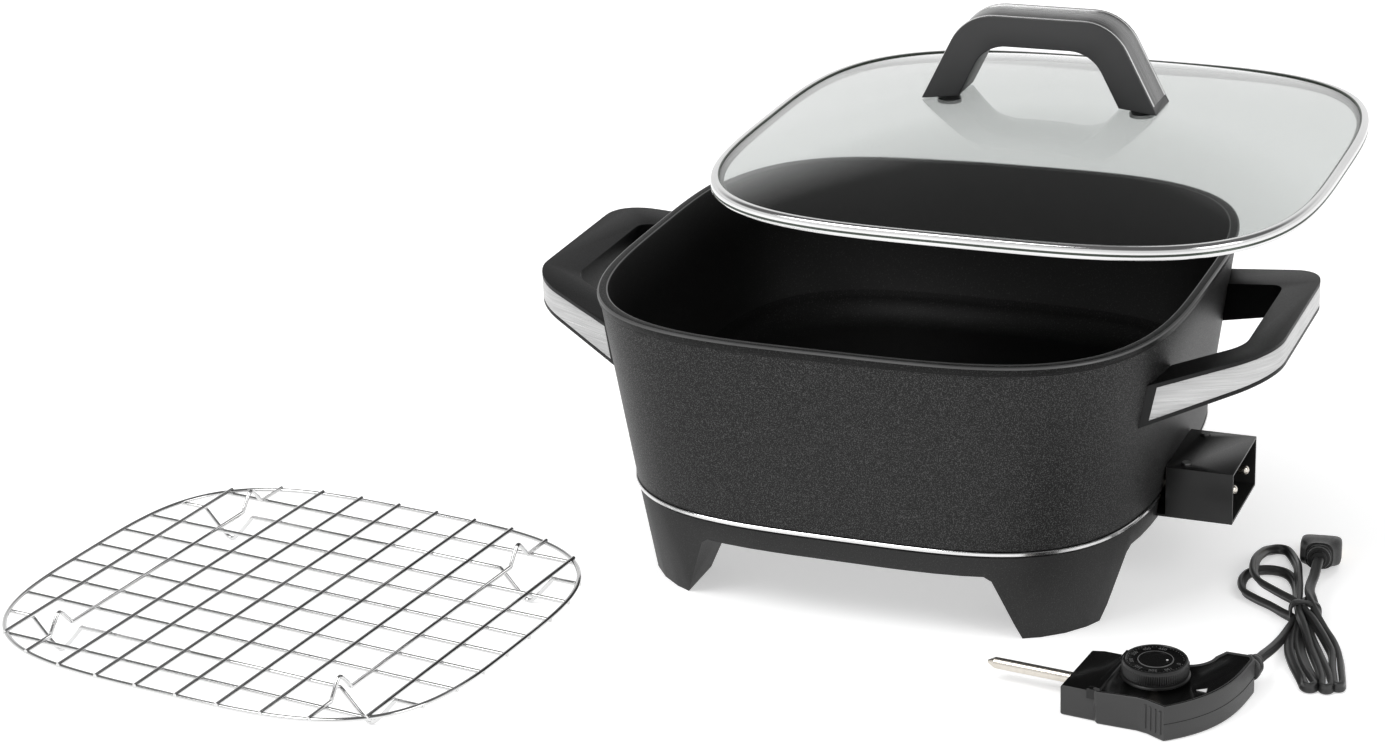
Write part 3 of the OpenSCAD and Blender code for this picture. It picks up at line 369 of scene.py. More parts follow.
def sweep(bm, path, reach, sides=12, roll=None, side=None):
    """Carries a ring along a path and caps its ends. reach gives the ring's extent towards each of
    its angles as (across, up); roll turns it about the path; side fixes its across direction for a
    wire in a plane."""
    ring = bmesh.ops.create_circle(bm, segments=sides, radius=1)["verts"]
    angles = [math.atan2(v.co.y, v.co.x) for v in ring]
    first = edges = list({e for v in ring for e in v.link_edges})
    order = {v: k for k, v in enumerate(ring)}
    for k, (point, along) in enumerate(zip(path, frames_along(path))):
        across = (side or Vector((0, 0, 1)).cross(along)).normalized()
        up = along.cross(across)
        turn = roll[k] if roll else 0.0
        flat = across * math.cos(turn) + up * math.sin(turn)
        thick = up * math.cos(turn) - across * math.sin(turn)
        if k:
            grown = bmesh.ops.extrude_edge_only(bm, edges=edges)["geom"]
            new = {g for g in grown if isinstance(g, bmesh.types.BMVert)}
            edges = [g for g in grown if isinstance(g, bmesh.types.BMEdge) and set(g.verts) <= new]
            fresh = {}
            for v in new:
                before = next(e.other_vert(v) for e in v.link_edges if e.other_vert(v) in order)
                fresh[v] = order[before]
            order = fresh
        for v, n in order.items():
            u, w = reach(angles[n])
            v.co = point + flat * u + thick * w
    for end in (first, edges):
        bmesh.ops.edgeloop_fill(bm, edges=end)


def round_wire(r):
    """Outline of a round wire, for sweep."""
    return lambda a: (r * math.cos(a), r * math.sin(a))


# ---- Cord ----

CORD_R, CORD_THICK_R, CORD_EDGE_R = 2.6, 1.5, 1.55
GROOVE_DEPTH, GROOVE_R = 0.24, 0.7


def twin_lead(a):
    """Outline of a flat twin lead: two rounded cores side by side with a shallow groove."""
    across, up = CORD_R * math.cos(a), math.sin(a)
    if abs(up) <= 0.3:
        return across, CORD_EDGE_R * up
    face = CORD_THICK_R * math.copysign(min(1, abs(up) * 1.6), up)
    return across, face * (1 - GROOVE_DEPTH * math.exp(-(across / GROOVE_R) ** 2))


# Each point: x, y, z, and how far the flat lead is turned on its edge, in degrees
cord_route = [
    (205.2, -127.6, 10.4, 70), (206.1, -119, 9.4, 75), (207, -109.5, 7.4, 80),
    (207.8, -98, 5.2, 82), (208.4, -86.5, 3.5, 84), (208.9, -76, 2.8, 85), (209.4, -67, 2.7, 85),
    # first loop to the left
    (208, -62.2, 2.7, 80), (202.4, -58, 2.7, 70), (194.9, -52, 2.7, 60), (186.7, -46.8, 2.7, 60),
    (179.5, -41, 2.8, 60), (176.2, -33, 2.8, 60), (175.4, -25, 2.8, 55), (177, -18.2, 2.7, 45),
    (181, -13.6, 2.6, 30), (187, -11.6, 2.6, 35), (193.6, -13.2, 2.7, 55), (198.6, -18.8, 2.7, 65),
    (202.6, -28.5, 2.7, 70), (205.9, -41.8, 2.7, 75), (209.4, -54, 2.7, 80),
    (211.2, -64.5, 2.7, 85),
    # first fold
    (211.6, -72, 2.7, 60), (211.9, -84, 2.6, 25), (214.2, -97, 2.6, 15), (219, -110, 2.6, 15),
    (224.8, -122, 2.6, 30), (227.5, -128, 2.6, 55), (228.3, -130.1, 2.7, 65),
    (229.8, -131.5, 2.7, 75), (231.7, -131.5, 2.7, 80), (233, -130.1, 2.7, 80),
    (233.1, -127.8, 2.7, 65), (230.8, -122, 2.6, 35), (225.2, -110.6, 2.6, 15),
    (219.6, -96.5, 2.6, 15), (216.2, -84, 2.6, 30), (214.4, -73, 2.7, 60), (214.4, -64.5, 2.8, 85),
    # second loop to the left, over the first
    (212.4, -58.5, 5.4, 80), (207.2, -54, 7.8, 62), (200.5, -49.5, 8.2, 58), (193, -43.7, 8.2, 55),
    (185.9, -37.3, 8.2, 52), (180.8, -27, 8.2, 50), (178.8, -13, 8.2, 45), (179.6, 1, 6, 58),
    (181, 8.6, 3.8, 65), (184.4, 13, 2.9, 68), (189, 12.6, 2.8, 70), (193.2, 6, 3, 70),
    (197.4, -4.6, 4.6, 68), (200.4, -15, 7.4, 66), (203, -26, 8.2, 66), (206.7, -41, 8.2, 72),
    (209.4, -54, 8.2, 80), (211.4, -64.5, 8.2, 85),
    # second fold
    (213.8, -71, 8, 85), (217, -78, 7, 85), (220.8, -87, 5, 84), (224.6, -96, 3.4, 82),
    (231, -110.5, 2.7, 80), (234.2, -119.5, 2.7, 80), (235.6, -124.8, 2.7, 80),
    (236.2, -127.9, 2.7, 80), (236.9, -129.7, 2.7, 80), (238.3, -130.5, 2.7, 80),
    (239.8, -129.9, 2.7, 80), (240.5, -128.2, 2.7, 80), (240.3, -125.4, 2.7, 80),
    (238.9, -120.6, 2.7, 80), (234.8, -110.2, 2.7, 80), (228, -95, 2.7, 82), (222.4, -82.5, 3, 85),
    (219, -73, 4, 85), (217.6, -64.5, 4.4, 85),
    # short fold beside the tie
    (217.5, -57.5, 4.9, 80), (217, -54, 5.6, 80), (215.8, -51.6, 6.4, 80), (214, -50.8, 7, 80),
    (212.4, -52.1, 7.6, 80), (212.1, -55, 8, 80), (212.8, -59.4, 8.2, 82), (214.8, -64.5, 8.2, 85),
    # third fold
    (219.4, -71, 8, 85), (225.2, -79.5, 6, 82), (230.8, -88.5, 4, 80), (234.4, -96, 3, 80),
    (237.4, -110, 2.7, 80), (240, -119.6, 2.7, 80), (240.8, -122.8, 2.7, 80),
    (241.5, -125.2, 2.7, 80), (242.2, -126.5, 2.7, 80), (243.4, -127, 2.7, 80),
    (244.6, -126.4, 2.7, 80), (245.1, -125, 2.7, 80), (244.7, -121.8, 2.7, 80),
    (242, -110.8, 2.7, 75), (238.4, -97, 2.7, 75), (233.4, -84.5, 3, 75), (227, -74.5, 4.4, 78),
    (222, -67.5, 7.4, 70), (218.8, -61.5, 10, 45),
    # on to the plug
    (215.6, -55, 11.8, 20), (213, -47, 11.2, 15), (211.8, -38, 10.8, 15), (211.6, -30, 11.4, 10),
    (211.1, -22, 12.8, 5), (210.8, -15.8, 13.7, 0),
]


def make_cord():
    """The lead as a swept tube, with its centreline and length in metres."""
    points = curved(cord_route, 4)
    path = [p.to_3d() for p in points]
    bm = bmesh.new()
    sweep(bm, path, twin_lead, sides=24, roll=[math.radians(p[3]) for p in points])
    strands = ("cord_lead", "cord_hank_upper", "cord_hank_lower", "cord_tail")
    cord = finished(bm, "cord_flat", "cord_lead", stands_for=strands, sharp=60)
    length = sum((b - a).length for a, b in zip(path, path[1:]))
    return cord, [p * MM for p in path], length * MM


cord, cord_path, cord_length = make_cord()

TIE_AT, TIE_LEANS = (213.8, -60.5, 6.3), (-16, 20)
tie = bmesh.new()
for lean in TIE_LEANS:
    band = loft([(6.9, 0), (7.7, 0), (7.8, 0.4), (7.8, 2.2), (7.7, 2.6), (6.9, 2.6)], closed=True,
                segments=64, square=3)
    stand_up = rotation(lean, "Z") @ rotation(90, "X") @ Matrix.Diagonal((1, 0.8, 1, 1))
    bmesh.ops.transform(band, matrix=stand_up, verts=band.verts)
    add_shell(tie, band)
cord_tie = finished(tie, "cord_tie_bands", "cord_tie", place=Matrix.Translation(TIE_AT))

RELIEF_AT = CONTROL_AT @ Matrix.Translation((76.2, 37.4, 10.8)) @ rotation(-92, "X")
# Half width and height of the strain relief's rings, from inside the shell to the lead
relief = loft([(3.3, -8), (3.4, -1), (5.4, -0.6), (5.7, 0), (5.7, 2.2), (5.4, 2.7), (4.4, 2.9),
               (4.3, 3.7), (5.1, 3.9), (5.4, 4.4), (5.4, 6.2), (5.1, 6.7), (4, 6.9), (3.9, 7.7),
               (4.1, 8), (3.9, 9.4), (3.4, 9.7), (3.4, 10.3), (3.6, 10.5), (3.3, 11.8), (2.6, 12)],
              segments=48, square=2)
relief_piece = finished(relief, "cord_relief", "cord_grommet", place=RELIEF_AT)

# Rings of the plug from its neck to its face: half width, height along the plug, squareness
PLUG_HALF_W, PLUG_HALF_H = 10.25, 7
plug_rings = [(3.6, 0, 2), (4.2, 0.6, 2), (4.2, 3, 2), (5.6, 3.4, 2), (5.9, 5, 2), (5.6, 5.4, 2),
              (4.9, 5.8, 2), (5.2, 6.4, 2.2), (6, 6.8, 2.4), (6.2, 9.4, 2.6), (6.9, 9.8, 3),
              (7.3, 12, 3.4), (8.6, 15, 4), (9.8, 18, 5), (PLUG_HALF_W, 21, 6),
              (PLUG_HALF_W, 28.6, 6), (9.5, 30, 6)]
plug = loft(plug_rings, segments=64)
for v in plug.verts:
    flat = min(1, max(0, (abs(v.co.z) - 9) / 8))
    v.co.y *= 1 - flat * (1 - PLUG_HALF_H / PLUG_HALF_W)
plug_body = finished(plug, "plug_shell", "plug_body", materials=[plug_black],
                     place=PLUG_AT @ rotation(-90, "X"))

# ---- Pan ----

inner_low = half_at(PAN_FLOOR_Z) - 4
bead_z = RIM_Z - BEAD_H
# Up the outside, over the rim and down to the floor
# Looks: 0 outside, 1 rim, 2 inside, 3 the rim's rounded edges, lighter as a painted highlight, 4
# floor
pan_profile = [
    (131.5, PAN_UNDER_Z), (132, PAN_LOW_Z + 0.6), (132.6, PAN_LOW_Z), (FOOT_HALF - 0.6, PAN_LOW_Z),
    (FOOT_HALF, PAN_LOW_Z + 0.6), (half_at(80), 80), (half_at(115), 115),
    (half_at(bead_z - 1.4), bead_z - 1.4),
    (half_at(bead_z) - 0.25, bead_z - 0.5), (half_at(bead_z) + 0.25, bead_z + 0.1, SQUARE, 1),
    (half_at(bead_z) + BEAD_OUT, bead_z + 0.7, SQUARE, 1), (RIM_HALF, RIM_Z - 1.2, SQUARE, 1),
    (RIM_HALF - 0.3, RIM_Z - 0.35, SQUARE, 3), (RIM_HALF - 1, RIM_Z, SQUARE, 3),
    (RIM_HALF - 4.2, RIM_Z, SQUARE, 1), (RIM_HALF - 4.8, RIM_Z - 0.3, SQUARE, 3),
    (RIM_HALF - 5.2, RIM_Z - 1.2, SQUARE, 2), (RIM_HALF - 6.9, 120, SQUARE, 2),
    (inner_low + 1.6, PAN_FLOOR_Z + 16, SQUARE, 2),
] + [(x, z, SQUARE, 4) for x, z in fillet(inner_low - 15.4, PAN_FLOOR_Z + 16, 16, -6, -90, 10)] + [
    (80, PAN_FLOOR_Z, 3.2, 4), (30, PAN_FLOOR_Z, 2.4, 4)]
pan = loft(pan_profile)


def tube_post(bm, x, y, low, high, r, bore, depth):
    """Round post with a blind hole from below, as on the underside of a casting."""
    post = loft([(bore, low + depth), (bore, low), (r, low), (r, high)], segments=32, square=2)
    bmesh.ops.translate(post, vec=(x, y, 0), verts=post.verts)
    add_shell(bm, post)


# Posts for the screws of the base and of the socket
POST_TOP, SCREW_BORE = 57, 1.65
BASE_POST_X, BASE_POST_Y = 45, 121
SOCKET_POST_X, SOCKET_POST_YS = 122, (-35.1, 6.7)
for sx in (-1, 1):
    for sy in (-1, 1):
        tube_post(pan, sx * BASE_POST_X, sy * BASE_POST_Y, 39.3, POST_TOP, 4.5, SCREW_BORE, 12)
for y in SOCKET_POST_YS:
    tube_post(pan, SOCKET_POST_X, y, 39.5, POST_TOP, 3.4, SCREW_BORE, 10)
finished(pan, "pan_cast", "pan",
         materials=[cast_outside, cast_rim, cast_inside, cast_edge_painted_highlight, cast_floor])

# The bright line is open where the socket stands
SOCKET_SIDES = (-40.3, 11.3)
trim = loft([(133.4, 48.1), (136.2, 48.1), (136.7, 48.4), (136.8, 49.8), (136.5, 50.15),
             (133.4, 50.15)], closed=True)
for y in SOCKET_SIDES:
    bmesh.ops.bisect_plane(trim, geom=trim.verts[:] + trim.edges[:] + trim.faces[:],
                           plane_co=(0, y, 0), plane_no=(0, 1, 0))
middles = {f: f.calc_center_median() for f in trim.faces}
behind_socket = [f for f, at in middles.items()
                 if at.x > 0 and SOCKET_SIDES[0] < at.y < SOCKET_SIDES[1]]
bmesh.ops.delete(trim, geom=behind_socket, context="FACES")
bmesh.ops.holes_fill(trim, edges=[e for e in trim.edges if e.is_boundary], sides=0)
finished(trim, "trim_bright", "trim_ring")

soften("base_skirt", "base_moulded", 0.9)
soften("socket_housing", "socket_folded", 0.35)
for side in ("left", "right"):
    soften("handle_" + side, "grip_" + side, 1.1, 3, materials=[handle_black])
    soften("handle_band_" + side, "grip_band_" + side, 0.12)

# ---- Lid ----

GLASS_HALF, GLASS_EDGE, DOME_RISE, GLASS_T = 147.2, 2, 25, 3.4
LID_PLACE = Matrix.Translation(LID_AT)


def dome_ring(s, up):
    """Ring of the dome at a share of its half width: rounder towards the middle."""
    height = GLASS_EDGE + DOME_RISE * (1 - s * s) + up
    return max(GLASS_HALF * s, 1), height, 2 + (SQUARE - 2) * s * s


steps = [k / 24 for k in range(1, 24)] + [0.985, 1]
glass_bm = loft([dome_ring(s, 0) for s in steps] + [dome_ring(s, GLASS_T) for s in reversed(steps)])
finished(glass_bm, "lid_dome", "lid_glass", place=LID_PLACE, sharp=50)

# Steel band round the glass: look 0 is its polished outside, 1 its inside and its groove, painted
# dark green-grey as shade with the green of the glass edge
rim_profile = [(143.5, 0.3, SQUARE, 1), (143.9, 0, SQUARE, 1), (148.6, 0), (149.4, 0.3),
               (149.8, 0.9), (149.9, 2), (149.6, 2.5, SQUARE, 1), (149.55, 2.8, SQUARE, 1),
               (149.95, 3.2), (149.95, 4.6), (149.7, 5.5), (149.1, 6.1), (148.2, 6.4),
               (146.6, 6.4), (146, 6.1, SQUARE, 1), (146, 5.7, SQUARE, 1),
               (147.6, 5.6, SQUARE, 1), (147.6, 1.7, SQUARE, 1), (143.5, 1.7, SQUARE, 1)]
finished(loft(rim_profile, closed=True), "lid_band", "lid_rim_band",
         materials=[lid_steel, band_inside_painted_shade], place=LID_PLACE)
soften("lid_handle", "lid_arch", 1.2, 3)

# Bright line along each edge of the inlay, from foot to foot over the two bends
ARCH_BEND_X, ARCH_BEND_Z, ARCH_BEND_R = 22, 46, 25
ARCH_FOOT_X, ARCH_FOOT_Z = 57.9, 30.6
INLAY_EDGE_Y, INLAY_LINE_R = 10.4, 0.42
arch_lines = bmesh.new()
for side in (-INLAY_EDGE_Y, INLAY_EDGE_Y):
    bend = [(sx * (ARCH_BEND_X + ARCH_BEND_R * math.cos(math.radians(a))),
             ARCH_BEND_Z + ARCH_BEND_R * math.sin(math.radians(a)))
            for sx, turns in ((-1, range(27, 91, 7)), (1, range(90, 26, -7))) for a in turns]
    edge = [(-ARCH_FOOT_X, ARCH_FOOT_Z)] + bend + [(ARCH_FOOT_X, ARCH_FOOT_Z)]
    sweep(arch_lines, [Vector((x, side, z)) for x, z in edge], round_wire(INLAY_LINE_R), sides=8,
          side=Vector((0, 1, 0)))
finished(arch_lines, "lid_arch_lines", "lid_handle_inlay", stands_for=(), materials=[bright_steel],
         place=LID_PLACE)
soften("lid_handle_inlay", "lid_arch_inlay", 0.15)

SEAL_X = 49
washers = bmesh.new()
for sx in (-1, 1):
    washer = loft([(2.6, 21.8), (4.9, 21.8), (5.3, 22.2), (5.3, 23.2), (5, 23.5), (2.6, 23.5)],
                  closed=True, segments=48, square=2)
    bmesh.ops.translate(washer, vec=(sx * SEAL_X, 0, 0), verts=washer.verts)
    add_shell(washers, washer)
finished(washers, "lid_seals", "lid_washers", place=LID_PLACE)

# ---- Rack ----

WIRE_R, RACK_Z = 1.1, 16
RACK_X, RACK_Y = 131, 112
CROSS_Z = RACK_Z + 2 * WIRE_R - 0.5
# The wires stand at odd elevenths of the half width, and the bent ones have their V's this far out
WIRE_GAPS = 11
BEND_PLACE = 1 - 3.2 / WIRE_GAPS
FOOT_V, HUMP_V, HUMP_H, V_TIP = 15.5, 8.4, 9, 0.2


def wire_reach(share, half):
    """How far a wire at a share of the rack's width goes, up to the middle of the ring."""
    return half * (1 - abs(share) ** SQUARE) ** (1 / SQUARE) + WIRE_R


def v_shape(t):
    """A V with a rounded tip, 0 at its tip and 1 at its ends."""
    return (math.sqrt(t * t + V_TIP ** 2) - V_TIP) / (math.sqrt(1 + V_TIP ** 2) - V_TIP)


def grid_wire(bm, share, z, turned, peak=None, v_half=0):
    """Wire across the rack, which leaves its level by a V at two places if it is given a peak."""
    half, across = (RACK_Y, RACK_X) if turned else (RACK_X, RACK_Y)
    reach = wire_reach(share, half)
    path = [(-reach, z)]
    if peak is not None:
        for centre in (-BEND_PLACE * half, BEND_PLACE * half):
            path += [(centre + v_half * k / 12, peak + (z - peak) * v_shape(abs(k / 12)))
                     for k in range(-12, 13)]
    path.append((reach, z))
    s = share * across
    if turned:
        sweep(bm, [Vector((-s, x, h)) for x, h in path], round_wire(WIRE_R), side=Vector((1, 0, 0)))
    else:
        sweep(bm, [Vector((x, s, h)) for x, h in path], round_wire(WIRE_R), side=Vector((0, 1, 0)))


ring_z = (RACK_Z + CROSS_Z) / 2
rack_rim = loft([(RACK_X + x, ring_z + z) for x, z in fillet(0, 0, WIRE_R, 0, 330, 11)],
                closed=True)
for v in rack_rim.verts:
    out = (abs(v.co.x) ** SQUARE + abs(v.co.y) ** SQUARE) ** (1 / SQUARE)
    v.co.y *= (RACK_Y + out - RACK_X) / out
finished(rack_rim, "rack_rim_wire", "rack_ring", place=RACK_AT, sharp=80)
for name, node, turned, bent, *v_sizes in (
        ("rack_grid_long", "rack_long_wires", False, False),
        ("rack_grid_cross", "rack_cross_wires", True, False),
        ("rack_grid_feet", "rack_foot_wires", False, True, WIRE_R, FOOT_V),
        ("rack_grid_humps", "rack_riser_wires", True, True, CROSS_Z + HUMP_H, HUMP_V)):
    wires = bmesh.new()
    for k in range(2 - WIRE_GAPS, WIRE_GAPS, 2):
        if (abs(k) == WIRE_GAPS - 4) == bent:
            grid_wire(wires, k / WIRE_GAPS, CROSS_Z if turned else RACK_Z, turned, *v_sizes)
    finished(wires, name, node, place=RACK_AT, sharp=80)

# ---- Control ----

CORNER = (58, -26.2)
BACK_X, TAIL_Y, TAIL_X = 80, 38, 62
control_outline = [(5.5, -20.5), (22, -20.5), (24, -22.5), (43, -21.5), (48, -22.3)] + [
    (CORNER[0] + (BACK_X - CORNER[0]) * (1 - (1 - k / 20) ** 3),
     CORNER[1] + (TAIL_Y - 3 - CORNER[1]) * k / 20)
    for k in range(21)] + [(77.5, TAIL_Y), (65, TAIL_Y)] + fillet(
    TAIL_X - 13, TAIL_Y - 7, 13, 0, -90, 12) + [(11.5, 20.5), (5.5, 18.5)]


def slab(outline, low, high, round_low=0.0, round_high=0.0, look_top=0):
    """Plate of an outline with its lower and upper edges rounded and a look of its own on top."""
    bm = bmesh.new()
    base = bm.faces.new([bm.verts.new((x, y, low)) for x, y in outline])
    grown = bmesh.ops.extrude_face_region(bm, geom=[base])["geom"]
    bmesh.ops.translate(bm, vec=(0, 0, high - low),
                        verts=[g for g in grown if isinstance(g, bmesh.types.BMVert)])
    for level, r in ((low, round_low), (high, round_high)):
        if r:
            rim = [e for e in bm.edges if all(abs(v.co.z - level) < 1e-4 for v in e.verts)]
            bmesh.ops.bevel(bm, geom=rim, offset=r, offset_type="OFFSET", segments=3, profile=0.5,
                            affect="EDGES", clamp_overlap=True, material=-1)
    for f in bm.faces:
        if f.normal.z > 0.9 and f.calc_center_median().z > high - 0.5:
            f.material_index = look_top
    return bm


def front_y(x):
    """Where the control's front side lies at a place along it."""
    return -21.5 - 0.16 * (x - 43) if x < 48 else -22.3 - 0.39 * (x - 48)


NOSE_TOP, BODY_TOP, SEAM_Z = 15.6, 16.9, 9
TOP_RISE = 0.035
GRIP_XS, GRIP_R = (47.7, 50.5, 53.3, 56.1), 0.55


def grip_ribs(bm, levels):
    """Upright ribs on the control's front side, through the given levels."""
    for x in GRIP_XS:
        sweep(bm, [Vector((x, front_y(x), z)) for z in levels], round_wire(GRIP_R),
              side=Vector((1, 0, 0)))


body_outline = [(22, -21)] + control_outline[2:-2] + [(22, 20.5)]
control_upper = slab(body_outline, SEAM_Z, BODY_TOP, 0, 0.9, 1)
top_face = max((f for f in control_upper.faces if f.material_index == 1),
               key=lambda f: f.calc_area())
for face in bmesh.ops.inset_region(control_upper, faces=[top_face], thickness=1.1, depth=-0.45,
                                   use_even_offset=True, use_boundary=True)["faces"]:
    face.material_index = 0
for v in control_upper.verts:
    if v.co.z > 12:
        v.co.z += TOP_RISE * (v.co.x - 24)
add_shell(control_upper, slab([(5.5, -20.5), (23, -20.5), (23, 20.5), (11.5, 20.5), (5.5, 18.5)],
                              SEAM_Z, NOSE_TOP, 0, 1.0, 1))
ridge = slab([(19.8, -20.9), (25.2, -21.6), (25.2, 20.4), (19.8, 20.4)], 12, 18.3, 0, 0.4)
for v in ridge.verts:
    if v.co.z > 16 and v.co.x < 22:
        v.co.x += 2.2
add_shell(control_upper, ridge, 1)
ridge_end = slab([(18.6, -21.3), (23, -21.3), (23, -17.6), (18.6, -17.6)], 12, 17.1, 0, 0.5)
add_shell(control_upper, ridge_end, 1)
grip_ribs(control_upper, (SEAM_Z, 14, 14.9, 15.2))
finished(control_upper, "control_upper", "control_top", materials=[control_side, control_gloss],
         place=CONTROL_AT)
control_lower = slab(control_outline, 0, SEAM_Z, 1.4, 0)
grip_ribs(control_lower, (3.2, 3.5, 4.4, SEAM_Z))
seam = bmesh.new()
sweep(seam, [Vector((x, y, SEAM_Z)) for x, y in control_outline[5:27]], round_wire(0.2), sides=8)
add_shell(control_lower, seam, 1)
finished(control_lower, "control_lower", "control_bottom", materials=[control_side, control_gloss],
         place=CONTROL_AT)

DIAL_R, DIAL_H = 15.2, 8.6
KNURL_DEPTH = 0.6
# Up the outside, over the raised edge and down into the glossy face with its ring
dial_profile = [(2.5, 0.1), (DIAL_R - 1, 0), (DIAL_R + 0.5, 0), (DIAL_R + 0.9, 0.3),
                (DIAL_R + 0.9, 1.2), (DIAL_R + 0.5, 1.6), (DIAL_R - 0.2, 1.7), (DIAL_R - 0.2, 2),
                (DIAL_R + 0.4, 2.2), (DIAL_R + 0.4, 6.6), (DIAL_R, 7), (DIAL_R - 0.1, 7.9),
                (DIAL_R - 0.4, 8.45), (DIAL_R - 0.8, DIAL_H), (DIAL_R - 1.3, DIAL_H),
                (DIAL_R - 1.5, 8.3), (DIAL_R - 1.9, 8.1, 2, 1), (8.4, 8.1, 2, 1),
                (8.3, 8.35, 2, 2), (7.9, 8.35, 2, 2), (7.8, 7.9, 2, 1)]
dial = loft(dial_profile, segments=180, square=2)
for v in dial.verts:
    r = math.hypot(v.co.x, v.co.y)
    in_groove = round(math.degrees(math.atan2(v.co.y, v.co.x)) / 2) % 2
    if 2.1 < v.co.z < 6.8 and r > DIAL_R + 0.2 and in_groove:
        v.co.x *= 1 - KNURL_DEPTH / r
        v.co.y *= 1 - KNURL_DEPTH / r
finished(dial, "dial_knob", "dial", materials=[dial_black, control_gloss, marking_grey],
         place=DIAL_AT, sharp=40)


def plain_number(bm, text, size, place):
    """Number laid flat and printed on a surface."""
    curve = bpy.data.curves.new("number", "FONT")
    curve.body = text
    curve.size = size
    curve.align_x = "CENTER"
    curve.align_y = "CENTER"
    curve.extrude = 0.04
    curve.resolution_u = 3
    holder = bpy.data.objects.new("number", curve)
    mesh = bpy.data.meshes.new_from_object(holder)
    bpy.data.objects.remove(holder)
    bpy.data.curves.remove(curve)
    mesh.transform(place)
    bm.from_mesh(mesh)
    bpy.data.meshes.remove(mesh)


SCALE_START, NUMBER_TURN, TICK_TURN, TICKS = -90, 38, 7.6, 46
marks = bmesh.new()
for k, text in enumerate(("0", "150", "200", "250", "300", "350", "400", "450")):
    around = rotation(SCALE_START - NUMBER_TURN * k, "Z")
    plain_number(marks, text, 2.7, around @ Matrix.Translation((0, 11.1, 8.12)))
for k in range(TICKS):
    tick = slab([(-0.13, 12.7), (0.13, 12.7), (0.13, 13.2), (-0.13, 13.2)], 8.09, 8.16)
    around = Matrix.Rotation(math.radians(SCALE_START - TICK_TURN * k), 3, "Z")
    bmesh.ops.rotate(tick, matrix=around, verts=tick.verts)
    add_shell(marks, tick)
finished(marks, "dial_marks", "dial", stands_for=(), materials=[marking_grey], place=DIAL_AT,
         turn_out=False)
# White dot at the right of the dial's glossy middle: a painted highlight
painted_glint = slab([(0.55 * math.cos(a / 2), 0.55 * math.sin(a / 2)) for a in range(12)], 8.2, 8.45, 0, 0.1)
bmesh.ops.translate(painted_glint, vec=(5.2, 1.2, 0), verts=painted_glint.verts)
finished(painted_glint, "dial_painted_highlight", "dial", stands_for=(), materials=[marking_white], place=DIAL_AT)
pointer = slab([(65.6, -4.6), (69.8, -1.4), (70.6, -5.2)], 18, 18.12)
for v in pointer.verts:
    v.co.z += TOP_RISE * (v.co.x - 66.4)
finished(pointer, "control_pointer", "control_top", stands_for=(), materials=[marking_white],
         place=CONTROL_AT)

# ---- Floor, backdrop and lights ----

FLOOR_GLOW, WORLD_LIGHT = 0.46, 0.5
# Heights between which a reflected backdrop goes from white to its dark ceiling, and both levels
CEILING_FROM, CEILING_TO = 0.36, 0.62
BACKDROP_LEVEL, CEILING_LEVEL = 1.0, 0.16


def seen_directly(tree):
    """Light path of a tree, and a value of 1 for what the eye, a reflection or glass sees and 0 for
    what only lights the object."""
    path = tree.nodes.new("ShaderNodeLightPath")
    seen = path.outputs["Is Camera Ray"]
    for ray in ("Is Glossy Ray", "Is Transmission Ray"):
        either = tree.nodes.new("ShaderNodeMath")
        either.operation = "MAXIMUM"
        tree.links.new(seen, either.inputs[0])
        tree.links.new(path.outputs[ray], either.inputs[1])
        seen = either.outputs[0]
    return path, seen


def table_look():
    """White that glows a little for whatever sees it."""
    look = bpy.data.materials.new("table_white")
    look.use_nodes = True
    tree = look.node_tree
    tree.nodes.remove(tree.nodes["Principled BSDF"])
    share = tree.nodes.new("ShaderNodeMath")
    share.operation = "MULTIPLY"
    share.inputs[1].default_value = FLOOR_GLOW
    tree.links.new(seen_directly(tree)[1], share.inputs[0])
    glow = tree.nodes.new("ShaderNodeEmission")
    tree.links.new(share.outputs[0], glow.inputs["Strength"])
    plain = tree.nodes.new("ShaderNodeBsdfDiffuse")
    plain.inputs["Color"].default_value = (0.8, 0.8, 0.8, 1)
    both = tree.nodes.new("ShaderNodeAddShader")
    tree.links.new(plain.outputs[0], both.inputs[0])
    tree.links.new(glow.outputs[0], both.inputs[1])
    tree.links.new(both.outputs[0], tree.nodes["Material Output"].inputs["Surface"])
    return look


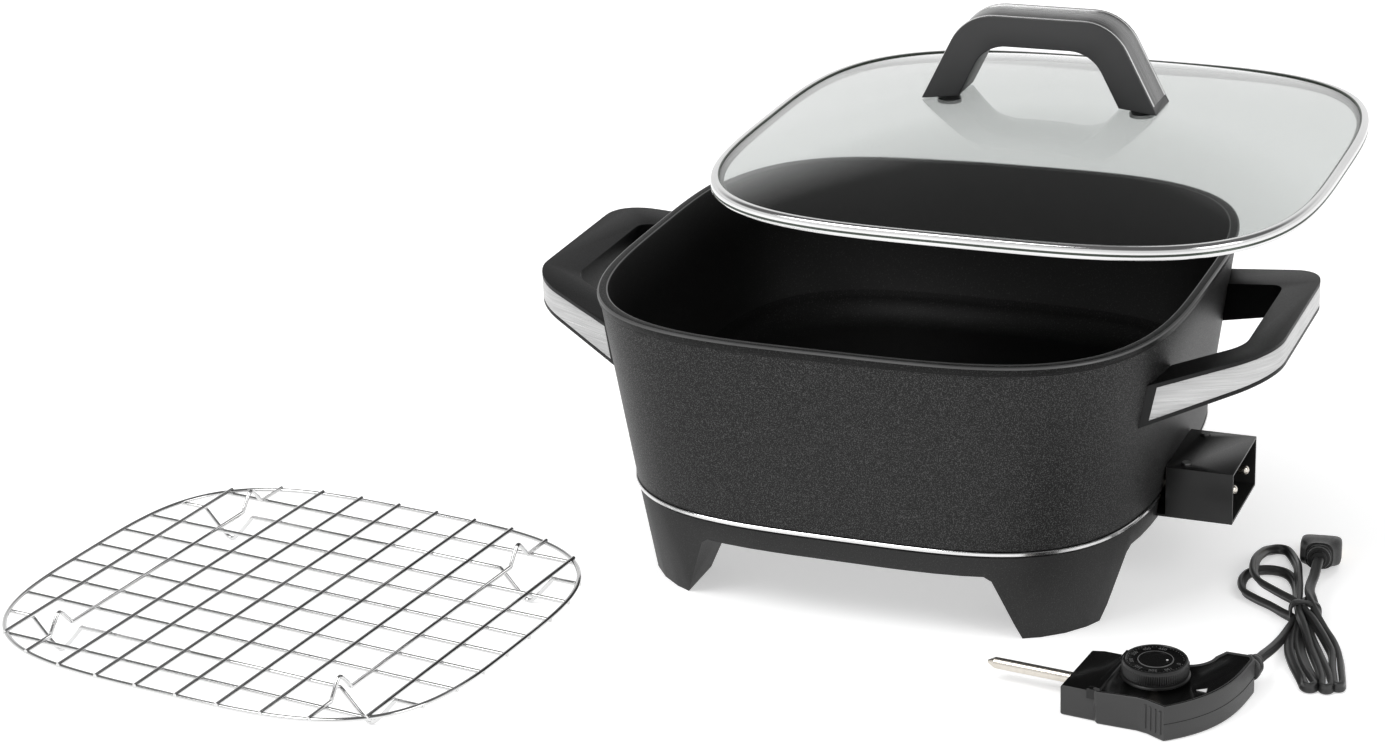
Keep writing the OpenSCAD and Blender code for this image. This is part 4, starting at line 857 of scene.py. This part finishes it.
def white_world():
    """White surroundings, with a dark ceiling for what reflects, that light the object less than
    they are bright."""
    world = bpy.data.worlds.new("studio")
    world.use_nodes = True
    bpy.context.scene.world = world
    tree = world.node_tree
    path, seen = seen_directly(tree)
    split = tree.nodes.new("ShaderNodeSeparateXYZ")
    tree.links.new(tree.nodes.new("ShaderNodeTexCoord").outputs["Generated"], split.inputs[0])
    ceiling = mapped(tree, split.outputs["Z"], CEILING_FROM, CEILING_TO, BACKDROP_LEVEL,
                     CEILING_LEVEL)
    glossy = tree.nodes.new("ShaderNodeMix")
    tree.links.new(path.outputs["Is Glossy Ray"], glossy.inputs["Factor"])
    glossy.inputs["A"].default_value = BACKDROP_LEVEL
    tree.links.new(ceiling, glossy.inputs["B"])
    level = tree.nodes.new("ShaderNodeMix")
    tree.links.new(seen, level.inputs["Factor"])
    level.inputs["A"].default_value = WORLD_LIGHT
    tree.links.new(glossy.outputs["Result"], level.inputs["B"])
    backdrop = tree.nodes["Background"]
    tree.links.new(level.outputs["Result"], backdrop.inputs["Strength"])
    backdrop.inputs["Color"].default_value = (1, 1, 1, 1)


white_world()
bm = bmesh.new()
bmesh.ops.create_grid(bm, x_segments=1, y_segments=1, size=6)
mesh = bpy.data.meshes.new("table")
bm.to_mesh(mesh)
bm.free()
mesh.materials.append(table_look())
table = bpy.data.objects.new("table", mesh)
bpy.context.collection.objects.link(table)

# Each lamp: name, place, width and watts
lamps = (("key", (-0.9, -1.1, 1.9), 1.2, 27), ("fill", (1.6, -0.6, 1.2), 1.0, 9),
         ("top", (0.1, 0.5, 2.2), 1.6, 14))
for name, where, size, watts in lamps:
    lamp = bpy.data.lights.new(name, "AREA")
    lamp.energy = watts
    lamp.size = size
    holder = bpy.data.objects.new(name, lamp)
    holder.location = where
    holder.visible_glossy = name != "top"
    holder.visible_transmission = False
    towards = Vector((0, 0, 0.1)) - Vector(where)
    holder.rotation_euler = towards.to_track_quat("-Z", "Y").to_euler()
    bpy.context.collection.objects.link(holder)
